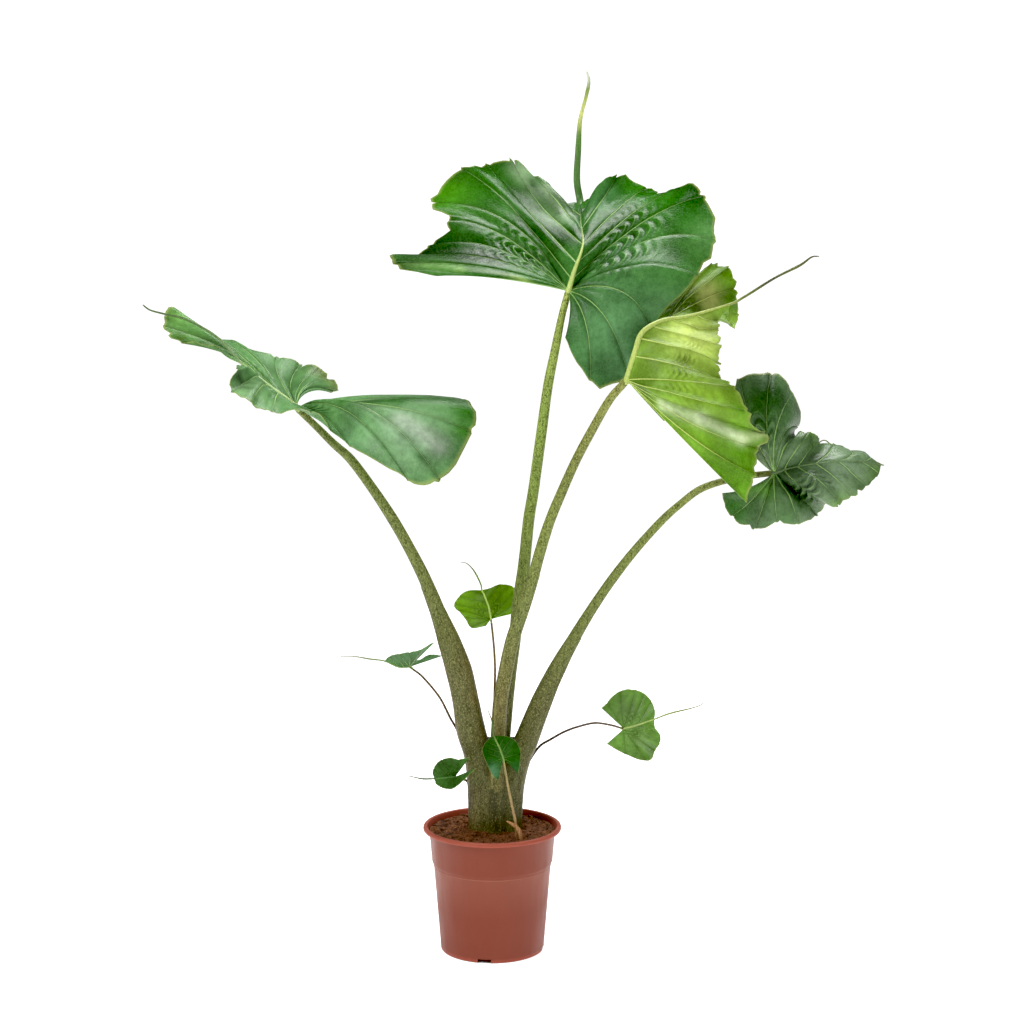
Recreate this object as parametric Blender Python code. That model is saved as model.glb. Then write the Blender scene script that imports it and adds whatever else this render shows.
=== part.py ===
"""A giant taro with tailed leaves in its nursery pot: four large leaves and five small ones on
long stalks, the peat that they stand in, and the moulded pot. Metres, +Z up. The origin is the
centre of the pot's underside, and the plant is seen from the front along +Y."""

import math

import bmesh
import bpy
import numpy as np
from mathutils import Matrix

MM = 0.001
GAP = 0.3  # clearance in millimetres between pieces that touch

# Pot, in millimetres
POT_SIDES = 48
POT_HEIGHT = 192
RIM_RADIUS = 105
FOOT_RADIUS = 78.5
TAPER = 0.081  # radius gained for each millimetre of height
WALL = 2
FLOOR = 4
COLLAR_START = 140
COLLAR_STEP = 2.2
COLLAR_SLOPE = 3  # height over which the wall steps out to the collar
COLLAR_END = 184
LIP_INNER = 98.2
LIP_ROUND = 1.5
LIP_DEPTH = 5
LIP_SLOPE = 1.8  # height of the lip's underside
CHANNEL_INNER = 58
CHANNEL_OUTER = 68
CHANNEL_DEPTH = 2.4
DRAIN_HOLES = 8
DRAIN_HOLE_RADIUS = 4
DRAIN_HOLE_SIDES = 12
DRAIN_SLOTS = 4
DRAIN_SLOT_WIDTH = 20
DRAIN_SLOT_HEIGHT = 6
DRAIN_SLOT_CUT = 16  # how far the cutter reaches through the wall
DRAIN_SLOT_TURN = -98.4  # degrees, the slot nearest the front

# Peat, in millimetres
SOIL_TOP = 178
SOIL_MOUND = 3
SOIL_SHOULDER = (70, 1)  # radius, and how far below the top
SHEATH_HOLE_RADIUS = 8  # the space that the four sheaths share at the plant's centre
SHEATH_HOLE_CENTRE = (4.5, 2)
SHEATH_HOLE_DEPTH = 100
SHEATH_HOLE_SIDES = 16
STALK_FOOT = 120  # height of a large stalk's lower end, inside the peat

# Blades, in millimetres
BLADE_THICKNESS = 1.2
SMALL_BLADE_THICKNESS = 1.0
BLADE_STEPS = 22
BLADE_ROWS = 6
SMALL_BLADE_STEPS = 10
SMALL_BLADE_ROWS = 3
THICKNESS_CLAMP = 0.8
SPINE_SIDES = 6
SPINE_RINGS = 30
SMALL_SPINE_RINGS = 12
MIDRIB_SHARE = 0.5  # the share of a small half blade whose ribs leave the midrib
NECK = 6  # distance from the blade's root to the joint between stalk and blade

COLOURS = {
    "pot": ((0.36, 0.09, 0.058), 0.45),
    "soil": ((0.09, 0.045, 0.022), 0.95),
    "upper": ((0.05, 0.17, 0.04), 0.35),
    "lime": ((0.30, 0.48, 0.05), 0.35),
    "dark": ((0.05, 0.10, 0.055), 0.35),
    "left": ((0.08, 0.20, 0.09), 0.35),
    "small": ((0.09, 0.25, 0.03), 0.4),
    "stalk": ((0.13, 0.13, 0.04), 0.5),
    "small_stalk": ((0.05, 0.035, 0.02), 0.6),
}

# Each large leaf, in millimetres as (across, away from the front, up).
# stalk runs from the peat to the blade and radii follow it, midrib runs from the blade's root
# to its tip, tail goes on from there. Each half blade is a list of ribs, from the tip round to
# the cleft: a point half way out, and the point where the rib meets the leaf's edge.
LARGE_LEAVES = {
    "left": {
        "stalk": [
            (-15, 0, 120), (-16, 0, 200), (-19, 0, 285), (-32, 0, 339), (-40, 0, 385),
            (-50, 0, 431), (-65, 0, 477), (-82, 0, 523), (-100, 0, 569), (-122, 0, 614),
            (-147, 0, 659), (-176, 0, 704), (-209, 2, 749), (-236, 4, 774), (-260, 5, 798),
        ],
        "radii": [20, 20, 21, 22, 20, 20, 17, 11.4, 9.5, 8.5, 8.3, 7.4, 7.0, 6.2, 5.4],
        "midrib": [(-289, 0, 827), (-309, 0, 843), (-332, 10, 859), (-352, 20, 874), (-371, 30, 889)],
        "tail": [
            (-389, 40, 907), (-411, 50, 928), (-438, 55, 945), (-465, 60, 957),
            (-491, 60, 963), (-513, 60, 969), (-524, 60, 977),
        ],
        "midrib_shares": (0.72, 0.5),
        "halves": (
            [
                ((-380, 43, 890), (-398, 50, 899)), ((-384, 49, 893), (-418, 55, 913)),
                ((-388, 55, 897), (-446, 59, 922)), ((-391, 60, 900), (-469, 58, 921)),
                ((-394, 65, 903), (-488, 60, 929)), ((-395, 70, 906), (-494, 67, 951)),
                ((-394, 76, 908), (-487, 80, 973)), ((-390, 82, 908), (-464, 95, 950)),
                ((-374, 80, 901), (-436, 103, 928)), ((-356, 78, 892), (-397, 108, 913)),
                ((-334, 68, 878), (-351, 107, 904)),
                ((-313, 70, 863), (-310, 120, 890)), ((-294, 60, 856), (-272, 120, 881)),
                ((-281, 50, 857), (-249, 120, 863)), ((-276, 45, 852), (-238, 110, 844)),
                ((-278, 28, 846), (-252, 92, 846)),
            ],
            [
                ((-366, 3, 884), (-376, -22, 889)), ((-359, -10, 877), (-380, -58, 867)),
                ((-347, -30, 866), (-361, -90, 849)), ((-327, -40, 852), (-331, -90, 834)),
                ((-309, -40, 839), (-302, -80, 825)), ((-281, -30, 826), (-252, -60, 822)),
                ((-244, -40, 817), (-204, -90, 779)), ((-213, -60, 822), (-135, -120, 744)),
                ((-194, -65, 827), (-103, -125, 726)), ((-173, -70, 831), (-66, -120, 738)),
                ((-159, -65, 837), (-31, -80, 790)), ((-155, -50, 840), (-26, -40, 830)),
                ((-164, -20, 843), (-59, 0, 840)), ((-217, 0, 842), (-137, 20, 842)),
            ],
        ),
    },
    "dark": {
        "stalk": [
            (24, 3, 120), (25, 3, 200), (29, 3, 250), (38, 2, 291), (50, 1, 318),
            (58, 0, 339), (76, 0, 385), (97, 1, 431), (122, 2, 477), (149, 4, 522),
            (180, 6, 568), (215, 9, 613), (255, 13, 657), (282, 16, 681), (310, 19, 702),
            (342, 21, 714), (382, 18, 723),
        ],
        "radii": [20, 20, 20, 19.5, 18.5, 17.5, 15.8, 12.8, 9.5, 7.8, 7.2, 6.5, 6, 5.6, 5.5, 5.2, 5],
        "midrib": [(420, 0, 730), (442, -10, 738), (478, -20, 746), (531, -10, 749), (582, 20, 740)],
        "tail": [
            (590, 34, 742), (586, 50, 745), (574, 60, 749), (544, 66, 758),
            (516, 62, 769), (501, 58, 773), (492, 58, 768),
        ],
        "midrib_shares": (0.5, 0.5),
        "halves": (
            [
                ((561, 10, 750), (561, 30, 752)), ((529, 0, 757), (531, 30, 763)),
                ((491, 0, 760), (502, 20, 773)), ((460, -18, 765), (480, 2, 785)),
                ((440, -24, 768), (459, -6, 790)), ((431, -28, 778), (454, 18, 791)),
                ((426, -26, 794), (458, 34, 806)), ((416, -26, 804), (442, 32, 859)),
                ((403, -20, 803), (408, 30, 875)), ((386, 0, 794), (366, 20, 867)),
                ((381, 5, 767), (352, 20, 825)),
            ],
            [
                ((565, 0, 733), (572, 0, 724)), ((522, -20, 729), (548, -20, 707)),
                ((491, -30, 723), (520, -20, 690)), ((462, -45, 710), (498, -20, 684)),
                ((456, 0, 697), (488, 20, 664)), ((437, -20, 696), (455, 0, 656)),
                ((418, -30, 693), (424, -20, 659)), ((402, -30, 689), (389, -30, 651)),
                ((387, -30, 696), (356, -20, 668)), ((382, -20, 711), (342, -10, 701)),
            ],
        ),
    },
    "lime": {
        "stalk": [
            (5, -15, 120), (6, -15, 200), (7, -14, 280), (10, -13, 342), (13, -18, 389),
            (21, -23, 436), (31, -28, 483), (46, -34, 529), (60, -40, 575), (72, -48, 621),
            (86, -57, 667), (104, -68, 713), (123, -80, 758), (145, -98, 803), (169, -117, 848),
        ],
        "radii": [13, 13, 12.5, 11.5, 11, 10.8, 10.5, 9.5, 8.7, 8.3, 7.7, 7.2, 6.8, 6.5, 6],
        "midrib": [
            (193, -130, 878), (204, -140, 918), (214, -135, 945),
            (243, -115, 961), (285, -90, 967), (346, -50, 982),
        ],
        "tail": [(369, -40, 993), (414, -20, 1019), (453, 0, 1037), (470, 0, 1049), (481, 0, 1050)],
        "midrib_shares": (0.5, 0.5),
        "halves": (
            [
                ((306, -86, 960), (328, -72, 958)), ((292, -103, 951), (327, -92, 949)),
                ((282, -130, 934), (326, -120, 917)), ((266, -155, 916), (321, -140, 893)),
                ((255, -180, 893), (334, -160, 876)), ((253, -190, 871), (352, -170, 858)),
                ((255, -200, 855), (363, -180, 820)), ((272, -200, 838), (391, -170, 806)),
                ((278, -200, 820), (376, -180, 780)), ((278, -200, 803), (370, -190, 745)),
                ((270, -190, 798), (359, -190, 710)),
            ],
            [
                ((325, -40, 970), (346, -20, 961)), ((318, -10, 963), (357, 0, 951)),
                ((307, 0, 979), (363, 30, 988)), ((292, 0, 986), (357, 50, 1026)),
                ((277, 0, 986), (329, 60, 1038)), ((254, -20, 965), (302, 50, 1010)),
                ((239, -30, 936), (281, 50, 969)), ((238, -50, 894), (297, 50, 910)),
                ((230, -70, 859), (295, 20, 845)), ((214, -90, 853), (253, -30, 810)),
            ],
        ),
    },
    "upper": {
        "stalk": [
            (9, 19, 120), (10, 19, 200), (14, 16, 280), (18, 13, 327), (23, 8, 383),
            (28, 4, 430), (34, 1, 477), (40, 0, 538), (48, 0, 591), (55, -3, 660),
            (62, -6, 705), (74, -13, 795), (83, -20, 862), (93, -27, 914), (102, -31, 961),
        ],
        "radii": [12, 12, 11, 10, 9.6, 9.4, 9.3, 9.2, 9, 8.6, 8.2, 7.8, 7.2, 6.4, 5.4],
        "midrib": [(112, -30, 1000), (120, -35, 1028), (134, 0, 1067), (133, 70, 1100), (134, 130, 1129)],
        "tail": [
            (129, 140, 1163), (131, 145, 1209), (134, 150, 1254),
            (143, 150, 1290), (147, 150, 1314), (141, 150, 1332),
        ],
        "midrib_shares": (0.5, 0.5),
        "halves": (
            [
                ((120, 113, 1120), (103, 128, 1130)), ((103, 104, 1127), (73, 125, 1157)),
                ((86, 101, 1128), (42, 130, 1190)), ((62, 98, 1124), (16, 130, 1192)),
                ((39, 90, 1125), (-22, 120, 1183)), ((30, 80, 1115), (-54, 100, 1175)),
                ((24, 60, 1100), (-91, 80, 1128)), ((20, 45, 1085), (-64, 50, 1112)),
                ((12, 30, 1071), (-71, 30, 1084)), ((5, 10, 1059), (-94, 20, 1062)),
                ((-2, -10, 1049), (-114, 10, 1050)), ((-6, -30, 1039), (-148, 0, 1048)),
                ((-6, -50, 1030), (-130, -30, 1032)), ((11, -65, 1019), (-74, -50, 1023)),
            ],
            [
                ((143, 112, 1123), (153, 120, 1138)), ((155, 107, 1131), (173, 125, 1165)),
                ((172, 104, 1132), (200, 130, 1169)), ((193, 98, 1122), (236, 120, 1151)),
                ((207, 85, 1115), (265, 100, 1145)), ((219, 70, 1107), (296, 70, 1158)),
                ((225, 50, 1091), (324, 50, 1125)), ((226, 20, 1071), (330, 20, 1074)),
                ((217, -10, 1048), (313, 0, 1037)), ((204, -35, 1028), (286, -30, 1005)),
                ((189, -50, 1005), (237, -55, 956)), ((174, -60, 985), (215, -65, 914)),
                ((160, -60, 962), (192, -70, 876)), ((143, -60, 952), (157, -70, 863)),
                ((128, -60, 957), (126, -65, 895)), ((114, -50, 971), (107, -60, 934)),
            ],
        ),
    },
}

# Each small leaf, in millimetres in the same way. Its ribs are straight, so a half blade is
# the list of points on its edge, from the tip round to the end of its back lobe.
SMALL_LEAVES = {
    "small_back": {
        "stalk": [(8, 46, 135), (8, 46, 249), (5, 50, 311), (3, 55, 368), (4, 60, 419), (2, 60, 458)],
        "midrib": [(-2, 55, 499), (-5, 50, 517), (-11, 55, 533), (-16, 60, 543)],
        "tail": [(-18, 65, 552), (-28, 80, 569), (-39, 90, 579), (-50, 100, 580)],
        "halves": (
            [(-39, 70, 540), (-54, 60, 529), (-58, 50, 519), (-48, 45, 510), (-40, 40, 500),
             (-31, 40, 488), (-10, 45, 490)],
            [(-4, 60, 546), (12, 60, 552), (30, 60, 549), (42, 55, 538), (42, 50, 523),
             (32, 45, 510), (16, 45, 506)],
        ),
    },
    "small_left": {
        "stalk": [
            (-30, 30, 135), (-31, 29, 190), (-33, 27, 239), (-40, 22, 287), (-51, 17, 329),
            (-64, 10, 356), (-80, 5, 389), (-105, 0, 421),
        ],
        "midrib": [(-124, 0, 436), (-141, -4, 437), (-161, -10, 447)],
        "tail": [(-182, -10, 450), (-207, -10, 454), (-224, -10, 454), (-231, -10, 452)],
        "halves": (
            [(-155, -20, 455), (-144, -30, 461), (-129, -35, 464), (-107, -35, 469), (-85, -30, 480)],
            [(-151, 15, 444), (-133, 40, 438), (-114, 50, 436), (-95, 55, 443), (-76, 55, 442)],
        ),
    },
    "small_low": {
        "stalk": [(-33, 22, 135), (-32, 21, 190), (-33, 17, 226), (-37, 10, 254), (-44, -2, 263)],
        "midrib": [(-56, -15, 270), (-71, -20, 270), (-87, -25, 270)],
        "tail": [(-104, -30, 271), (-119, -30, 274), (-129, -30, 276)],
        "halves": (
            [(-89, -30, 283), (-81, -35, 298), (-66, -37, 305), (-49, -40, 304), (-33, -45, 308)],
            [(-84, -30, 263), (-75, -33, 258), (-61, -37, 257), (-48, -40, 266), (-24, -45, 291)],
        ),
    },
    "small_front": {
        "stalk": [(37, -48, 135), (36, -50, 200), (30, -54, 236), (26, -54, 256), (21, -50, 282)],
        "midrib": [(17, -55, 309), (11, -55, 326), (3, -50, 342)],
        "tail": [(2, -45, 354), (-1, -42, 366), (-6, -42, 379)],
        "halves": (
            [(-4, -50, 337), (-12, -52, 328), (-14, -55, 318), (-7, -60, 301), (0, -63, 287), (9, -65, 277)],
            [(12, -50, 342), (26, -50, 340), (37, -50, 332), (43, -55, 317), (41, -60, 298), (39, -62, 287)],
        ),
    },
    "small_right": {
        "stalk": [
            (34, 40, 135), (36, 38, 200), (39, 36, 228), (51, 30, 272), (70, 22, 306), (88, 20, 319),
            (111, 20, 332), (133, 20, 340), (156, 20, 345), (179, 20, 342),
        ],
        "midrib": [(200, 20, 336), (221, 15, 343), (246, 15, 352)],
        "tail": [(269, 10, 362), (299, 0, 372), (314, 0, 377), (323, 0, 384)],
        "halves": (
            [(247, 20, 365), (240, 30, 380), (227, 35, 390), (209, 40, 393), (189, 40, 387),
             (173, 35, 371), (166, 30, 366)],
            [(247, 10, 340), (254, 0, 331), (253, -10, 321), (245, -15, 309), (238, -20, 297),
             (217, -20, 299), (193, -15, 309), (173, -10, 320)],
        ),
    },
}

LARGE_MIDRIB_RADII = (5.0, 4.2, 3.2, 2.4, 1.8)
LARGE_TAIL_RADII = (1.8, 1.0)
SMALL_STALK_RADII = (2.0, 1.7)
SMALL_MIDRIB_RADII = (1.5, 1.2, 1.0)
SMALL_TAIL_RADII = (0.9, 0.7)
DEPTH_SHARE = 0.92  # a stalk is a little thinner from front to back than across
NECK_SHARE = 0.92  # a stalk's radius at the neck, as a share of the last radius given
STALK_SIDES = 14
STALK_RINGS = 20
SMALL_STALK_SIDES = 7
SMALL_STALK_RINGS = 14
CURVE_SAMPLES = 400

# The exact solver leaves this blade without faces, because its sheet nearly touches itself
# where the back of the leaf is crumpled.
MANIFOLD_BLADES = ("blade_left",)


def clear_scene():
    for old in list(bpy.data.objects):
        bpy.data.objects.remove(old, do_unlink=True)


def finish(name):
    colour, roughness = COLOURS[name]
    material = bpy.data.materials.new(name)
    material.use_nodes = True
    shader = material.node_tree.nodes["Principled BSDF"]
    shader.inputs["Base Color"].default_value = (*colour, 1)
    shader.inputs["Roughness"].default_value = roughness
    shader.inputs["Metallic"].default_value = 0
    return material


def new_object(name, mesh_maker, material=None, smooth_angle=40):
    """An object in the scene from a bmesh in millimetres."""
    mesh = bpy.data.meshes.new(name)
    bmesh.ops.scale(mesh_maker, vec=(MM, MM, MM), verts=mesh_maker.verts)
    mesh_maker.to_mesh(mesh)
    mesh_maker.free()
    mesh.shade_smooth()
    mesh.set_sharp_from_angle(angle=math.radians(smooth_angle))
    piece = bpy.data.objects.new(name, mesh)
    bpy.context.scene.collection.objects.link(piece)
    if material:
        mesh.materials.append(material)
    return piece


def boolean(piece, cutter, operation, solver="EXACT"):
    modifier = piece.modifiers.new(operation.lower(), "BOOLEAN")
    modifier.operation = operation
    modifier.solver = solver
    modifier.object = cutter
    cutter.hide_render = True
    cutter.display_type = "WIRE"


def through(points, places):
    """Catmull-Rom values at places, which count along the points from 0."""
    points = np.asarray(points, float)
    last = len(points) - 1
    places = np.clip(np.atleast_1d(places), 0, last)
    index = np.minimum(places.astype(int), last - 1)
    part = (places - index)[:, None]
    extended = np.vstack([2 * points[0] - points[1], points, 2 * points[-1] - points[-2]])
    before, start, end, after = (extended[index + step] for step in range(4))
    return 0.5 * (
        2 * start
        + (end - before) * part
        + (2 * before - 5 * start + 4 * end - after) * part**2
        + (3 * start - before - 3 * end + after) * part**3
    )


def along(points, values, count):
    """Evenly spaced points along a smooth curve, with its values there."""
    fine = through(points, np.linspace(0, len(points) - 1, CURVE_SAMPLES))
    run = np.concatenate([[0], np.cumsum(np.linalg.norm(np.diff(fine, axis=0), axis=1))])
    wanted = np.linspace(0, run[-1], count)
    spots = np.interp(wanted, run, np.linspace(0, len(points) - 1, CURVE_SAMPLES))
    levels = np.interp(spots / (len(points) - 1), np.linspace(0, 1, len(values)), values)
    return through(points, spots), levels


def tube(points, radii, sides, depth_share=1.0, start_way=None, end_way=None):
    """A closed bmesh tube round the points, flattened from front to back by depth_share.
    Its end faces look along start_way and end_way where these are given."""
    maker = bmesh.new()
    rings = []
    tangents = np.gradient(points, axis=0)
    if start_way is not None:
        tangents[0] = start_way
    if end_way is not None:
        tangents[-1] = end_way
    for centre, tangent, radius in zip(points, tangents, radii):
        tangent = tangent / np.linalg.norm(tangent)
        depth = np.array([0, 1, 0]) - tangent[1] * tangent
        depth /= np.linalg.norm(depth)
        across = np.cross(tangent, depth)
        ring = []
        for step in range(sides):
            turn = 2 * math.pi * step / sides
            offset = math.cos(turn) * across + depth_share * math.sin(turn) * depth
            ring.append(maker.verts.new(centre + radius * offset))
        rings.append(ring)
    for low, high in zip(rings, rings[1:]):
        for step in range(sides):
            following = (step + 1) % sides
            maker.faces.new((low[step], low[following], high[following], high[step]))
    maker.faces.new(rings[0][::-1])
    maker.faces.new(rings[-1])
    bmesh.ops.recalc_face_normals(maker, faces=maker.faces)
    bmesh.ops.triangulate(maker, faces=maker.faces)
    return maker


def shortened(points, radii, cut):
    """The curve without its last stretch of length cut."""
    steps = np.linalg.norm(np.diff(points[::-1], axis=0), axis=1)
    back = np.concatenate([[0], np.cumsum(steps)])
    keep = back[::-1] > cut + 1
    inner, outer = np.flatnonzero(keep)[-1], np.flatnonzero(keep)[-1] + 1
    share = (back[::-1][inner] - cut) / (back[::-1][inner] - back[::-1][outer])
    end = points[inner] + share * (points[outer] - points[inner])
    level = radii[inner] + share * (radii[outer] - radii[inner])
    return np.vstack([points[keep], end]), np.append(radii[keep], level)


def half_blade(midrib, half, steps, rows):
    """A grid of points over half a blade. half is the share of it whose ribs leave the midrib,
    then its ribs as (middle, end), from the tip to the cleft. The other ribs fan from the root."""
    midrib_share, ribs = half
    tip = midrib[-1]
    middles = [tip] + [rib[0] for rib in ribs]
    ends = [tip] + [rib[1] for rib in ribs]
    joined = steps // 2
    shares = np.concatenate([
        np.linspace(0, midrib_share, joined + 1),
        np.linspace(midrib_share, 1, steps - joined + 1)[1:],
    ])
    starts = through(midrib, np.maximum(0, 1 - shares / midrib_share) * (len(midrib) - 1))
    middles = through(middles, shares * len(ribs))
    ends = through(ends, shares * len(ribs))
    pull = 2 * middles - 0.5 * (starts + ends)
    out = np.linspace(0, 1, rows + 1)[None, :, None]
    inner, outer = starts[:, None], ends[:, None]
    return (1 - out) ** 2 * inner + 2 * out * (1 - out) * pull[:, None] + out**2 * outer


def sheet(midrib, halves, steps, rows):
    """Both half blades as one open bmesh, joined along the midrib."""
    maker = bmesh.new()
    for half in halves:
        grid = half_blade(midrib, half, steps, rows)
        made = bmesh.ops.create_grid(maker, x_segments=rows, y_segments=steps, size=0.5)["verts"]
        for vert in made:
            column = round((vert.co.x + 0.5) * rows)
            row = round((vert.co.y + 0.5) * steps)
            vert.co = grid[row, column]
    bmesh.ops.remove_doubles(maker, verts=maker.verts, dist=0.01)
    bmesh.ops.dissolve_degenerate(maker, edges=maker.edges, dist=0.05)
    bmesh.ops.recalc_face_normals(maker, faces=maker.faces)
    bmesh.ops.triangulate(maker, faces=maker.faces)
    return maker


def blade(name, midrib, tail, halves, neck, sizes, material):
    """One blade with its thickness, midrib and tail, fused into one body."""
    piece = new_object(name, sheet(midrib, halves, sizes["steps"], sizes["rows"]), material)
    thick = piece.modifiers.new("thickness", "SOLIDIFY")
    thick.thickness = sizes["thickness"] * MM
    thick.offset = 0
    thick.thickness_clamp = THICKNESS_CLAMP
    points = [neck] + midrib + tail
    levels = np.interp(
        np.arange(len(points)),
        [0, len(midrib), len(points) - 1],
        [sizes["midrib"][0], sizes["midrib"][-1], sizes["tail"][-1]],
    )
    curve, radii = along(points, levels, sizes["spine"])
    way = np.subtract(midrib[0], neck)
    rib = new_object(name + "_spine", tube(curve, radii, SPINE_SIDES, start_way=way))
    boolean(piece, rib, "UNION", "MANIFOLD" if name in MANIFOLD_BLADES else "EXACT")
    return piece


def neck_point(stalk, midrib):
    """The point on the way from the stalk to the blade's root that lies NECK short of it."""
    last = np.subtract(midrib[0], stalk[-1]).astype(float)
    return tuple(np.array(midrib[0]) - NECK * last / np.linalg.norm(last))


def stalk_body(name, leaf, radii, sides, count, material, depth_share, extra=0.0):
    """A stalk from inside the peat to the joint with its blade, made larger by extra."""
    neck = neck_point(leaf["stalk"], leaf["midrib"])
    points, levels = along(leaf["stalk"] + [neck], [*radii, radii[-1] * NECK_SHARE], count)
    points, levels = shortened(points, levels, GAP)
    points[0] += extra * (points[0] - points[1]) / np.linalg.norm(points[0] - points[1])
    way = np.subtract(neck, leaf["stalk"][-1])
    points[-1] = np.array(neck) - GAP * way / np.linalg.norm(way)
    return new_object(name, tube(points, levels + extra, sides, depth_share, end_way=way), material)


def ring_profile(profile, sides):
    """A closed bmesh turned round Z from (radius, height) points that start and end on the axis."""
    maker = bmesh.new()
    verts = [maker.verts.new((radius, 0, height)) for radius, height in profile]
    edges = [maker.edges.new(pair) for pair in zip(verts, verts[1:])]
    bmesh.ops.spin(
        maker, geom=verts + edges, cent=(0, 0, 0), axis=(0, 0, 1), angle=2 * math.pi,
        steps=sides, use_merge=True,
    )
    bmesh.ops.remove_doubles(maker, verts=maker.verts, dist=0.001)
    bmesh.ops.recalc_face_normals(maker, faces=maker.faces)
    return maker


def wall_radius(height):
    """The pot's outer radius below its collar."""
    return FOOT_RADIUS + TAPER * height


def pot():
    step_low = COLLAR_START - COLLAR_SLOPE
    profile = [
        (0, 0),
        (CHANNEL_INNER, 0),
        (CHANNEL_INNER + 1, CHANNEL_DEPTH),
        (CHANNEL_OUTER - 1, CHANNEL_DEPTH),
        (CHANNEL_OUTER, 0),
        (FOOT_RADIUS - 0.8, 0),
        (wall_radius(1), 1),
        (wall_radius(step_low), step_low),
        (wall_radius(COLLAR_START) + COLLAR_STEP, COLLAR_START),
        (wall_radius(COLLAR_END) + COLLAR_STEP, COLLAR_END),
        (RIM_RADIUS - 1, POT_HEIGHT - LIP_DEPTH - LIP_SLOPE),
        (RIM_RADIUS, POT_HEIGHT - LIP_DEPTH),
        (RIM_RADIUS, POT_HEIGHT - LIP_ROUND),
        (RIM_RADIUS - LIP_ROUND, POT_HEIGHT),
        (LIP_INNER + LIP_ROUND, POT_HEIGHT),
        (LIP_INNER, POT_HEIGHT - LIP_ROUND),
        (wall_radius(COLLAR_END) + COLLAR_STEP - WALL, COLLAR_END - 2),
        (wall_radius(COLLAR_START) + COLLAR_STEP - WALL, COLLAR_START),
        (wall_radius(step_low) - WALL, step_low),
        (wall_radius(FLOOR) - WALL, FLOOR),
        (0, FLOOR),
    ]
    body = new_object("pot", ring_profile(profile, POT_SIDES), finish("pot"))
    cutters = bmesh.new()
    for index in range(DRAIN_HOLES):
        turn = 2 * math.pi * (index + 0.5) / DRAIN_HOLES
        middle = (CHANNEL_INNER + CHANNEL_OUTER) / 2
        made = bmesh.ops.create_cone(
            cutters, cap_ends=True, segments=DRAIN_HOLE_SIDES, radius1=DRAIN_HOLE_RADIUS,
            radius2=DRAIN_HOLE_RADIUS, depth=4 * FLOOR,
        )["verts"]
        bmesh.ops.translate(cutters, verts=made, vec=(middle * math.cos(turn), middle * math.sin(turn), 0))
    boolean(body, new_object("drain_hole_cutter", cutters), "DIFFERENCE")
    cutters = bmesh.new()
    for index in range(DRAIN_SLOTS):
        turn = math.radians(DRAIN_SLOT_TURN + 360 * index / DRAIN_SLOTS)
        made = bmesh.ops.create_cube(cutters, size=1)["verts"]
        bmesh.ops.scale(cutters, verts=made, vec=(DRAIN_SLOT_CUT, DRAIN_SLOT_WIDTH, 2 * DRAIN_SLOT_HEIGHT))
        bmesh.ops.translate(cutters, verts=made, vec=(FOOT_RADIUS, 0, 0))
        bmesh.ops.rotate(cutters, verts=made, cent=(0, 0, 0), matrix=Matrix.Rotation(turn, 3, "Z"))
    boolean(body, new_object("drain_slot_cutter", cutters), "DIFFERENCE")
    return body


def soil(stalk_cutters):
    step_low = COLLAR_START - COLLAR_SLOPE
    inner = WALL + GAP
    shoulder, below = SOIL_SHOULDER
    profile = [
        (0, FLOOR + GAP),
        (wall_radius(FLOOR) - inner, FLOOR + GAP),
        (wall_radius(step_low) - inner, step_low + GAP),
        (wall_radius(COLLAR_START) + COLLAR_STEP - inner, COLLAR_START + GAP),
        (wall_radius(SOIL_TOP) + COLLAR_STEP - inner, SOIL_TOP - SOIL_MOUND),
        (shoulder, SOIL_TOP - below),
        (0, SOIL_TOP),
    ]
    body = new_object("soil", ring_profile(profile, POT_SIDES), finish("soil"))
    hole = bmesh.new()
    made = bmesh.ops.create_cone(
        hole, cap_ends=True, segments=SHEATH_HOLE_SIDES, radius1=SHEATH_HOLE_RADIUS,
        radius2=SHEATH_HOLE_RADIUS, depth=SHEATH_HOLE_DEPTH,
    )["verts"]
    middle = STALK_FOOT - GAP + SHEATH_HOLE_DEPTH / 2
    bmesh.ops.translate(hole, verts=made, vec=(*SHEATH_HOLE_CENTRE, middle))
    for cutter in [new_object("sheath_hole_cutter", hole)] + stalk_cutters:
        boolean(body, cutter, "DIFFERENCE")
    return body


def large_leaves():
    """The four large leaves. A sheath that would cross an earlier one is cut back from it."""
    cutters = []
    sizes = {
        "steps": BLADE_STEPS, "rows": BLADE_ROWS, "thickness": BLADE_THICKNESS,
        "spine": SPINE_RINGS, "midrib": LARGE_MIDRIB_RADII, "tail": LARGE_TAIL_RADII,
    }
    for name, leaf in LARGE_LEAVES.items():
        neck = neck_point(leaf["stalk"], leaf["midrib"])
        halves = zip(leaf["midrib_shares"], leaf["halves"])
        blade("blade_" + name, leaf["midrib"], leaf["tail"], halves, neck, sizes, finish(name))
        form = (leaf["radii"], STALK_SIDES, STALK_RINGS)
        stalk = stalk_body("stalk_" + name, leaf, *form, finish("stalk"), DEPTH_SHARE)
        for cutter in cutters:
            boolean(stalk, cutter, "DIFFERENCE")
        cutters.append(stalk_body("room_" + name, leaf, *form, None, DEPTH_SHARE, GAP))
    return cutters


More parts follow.
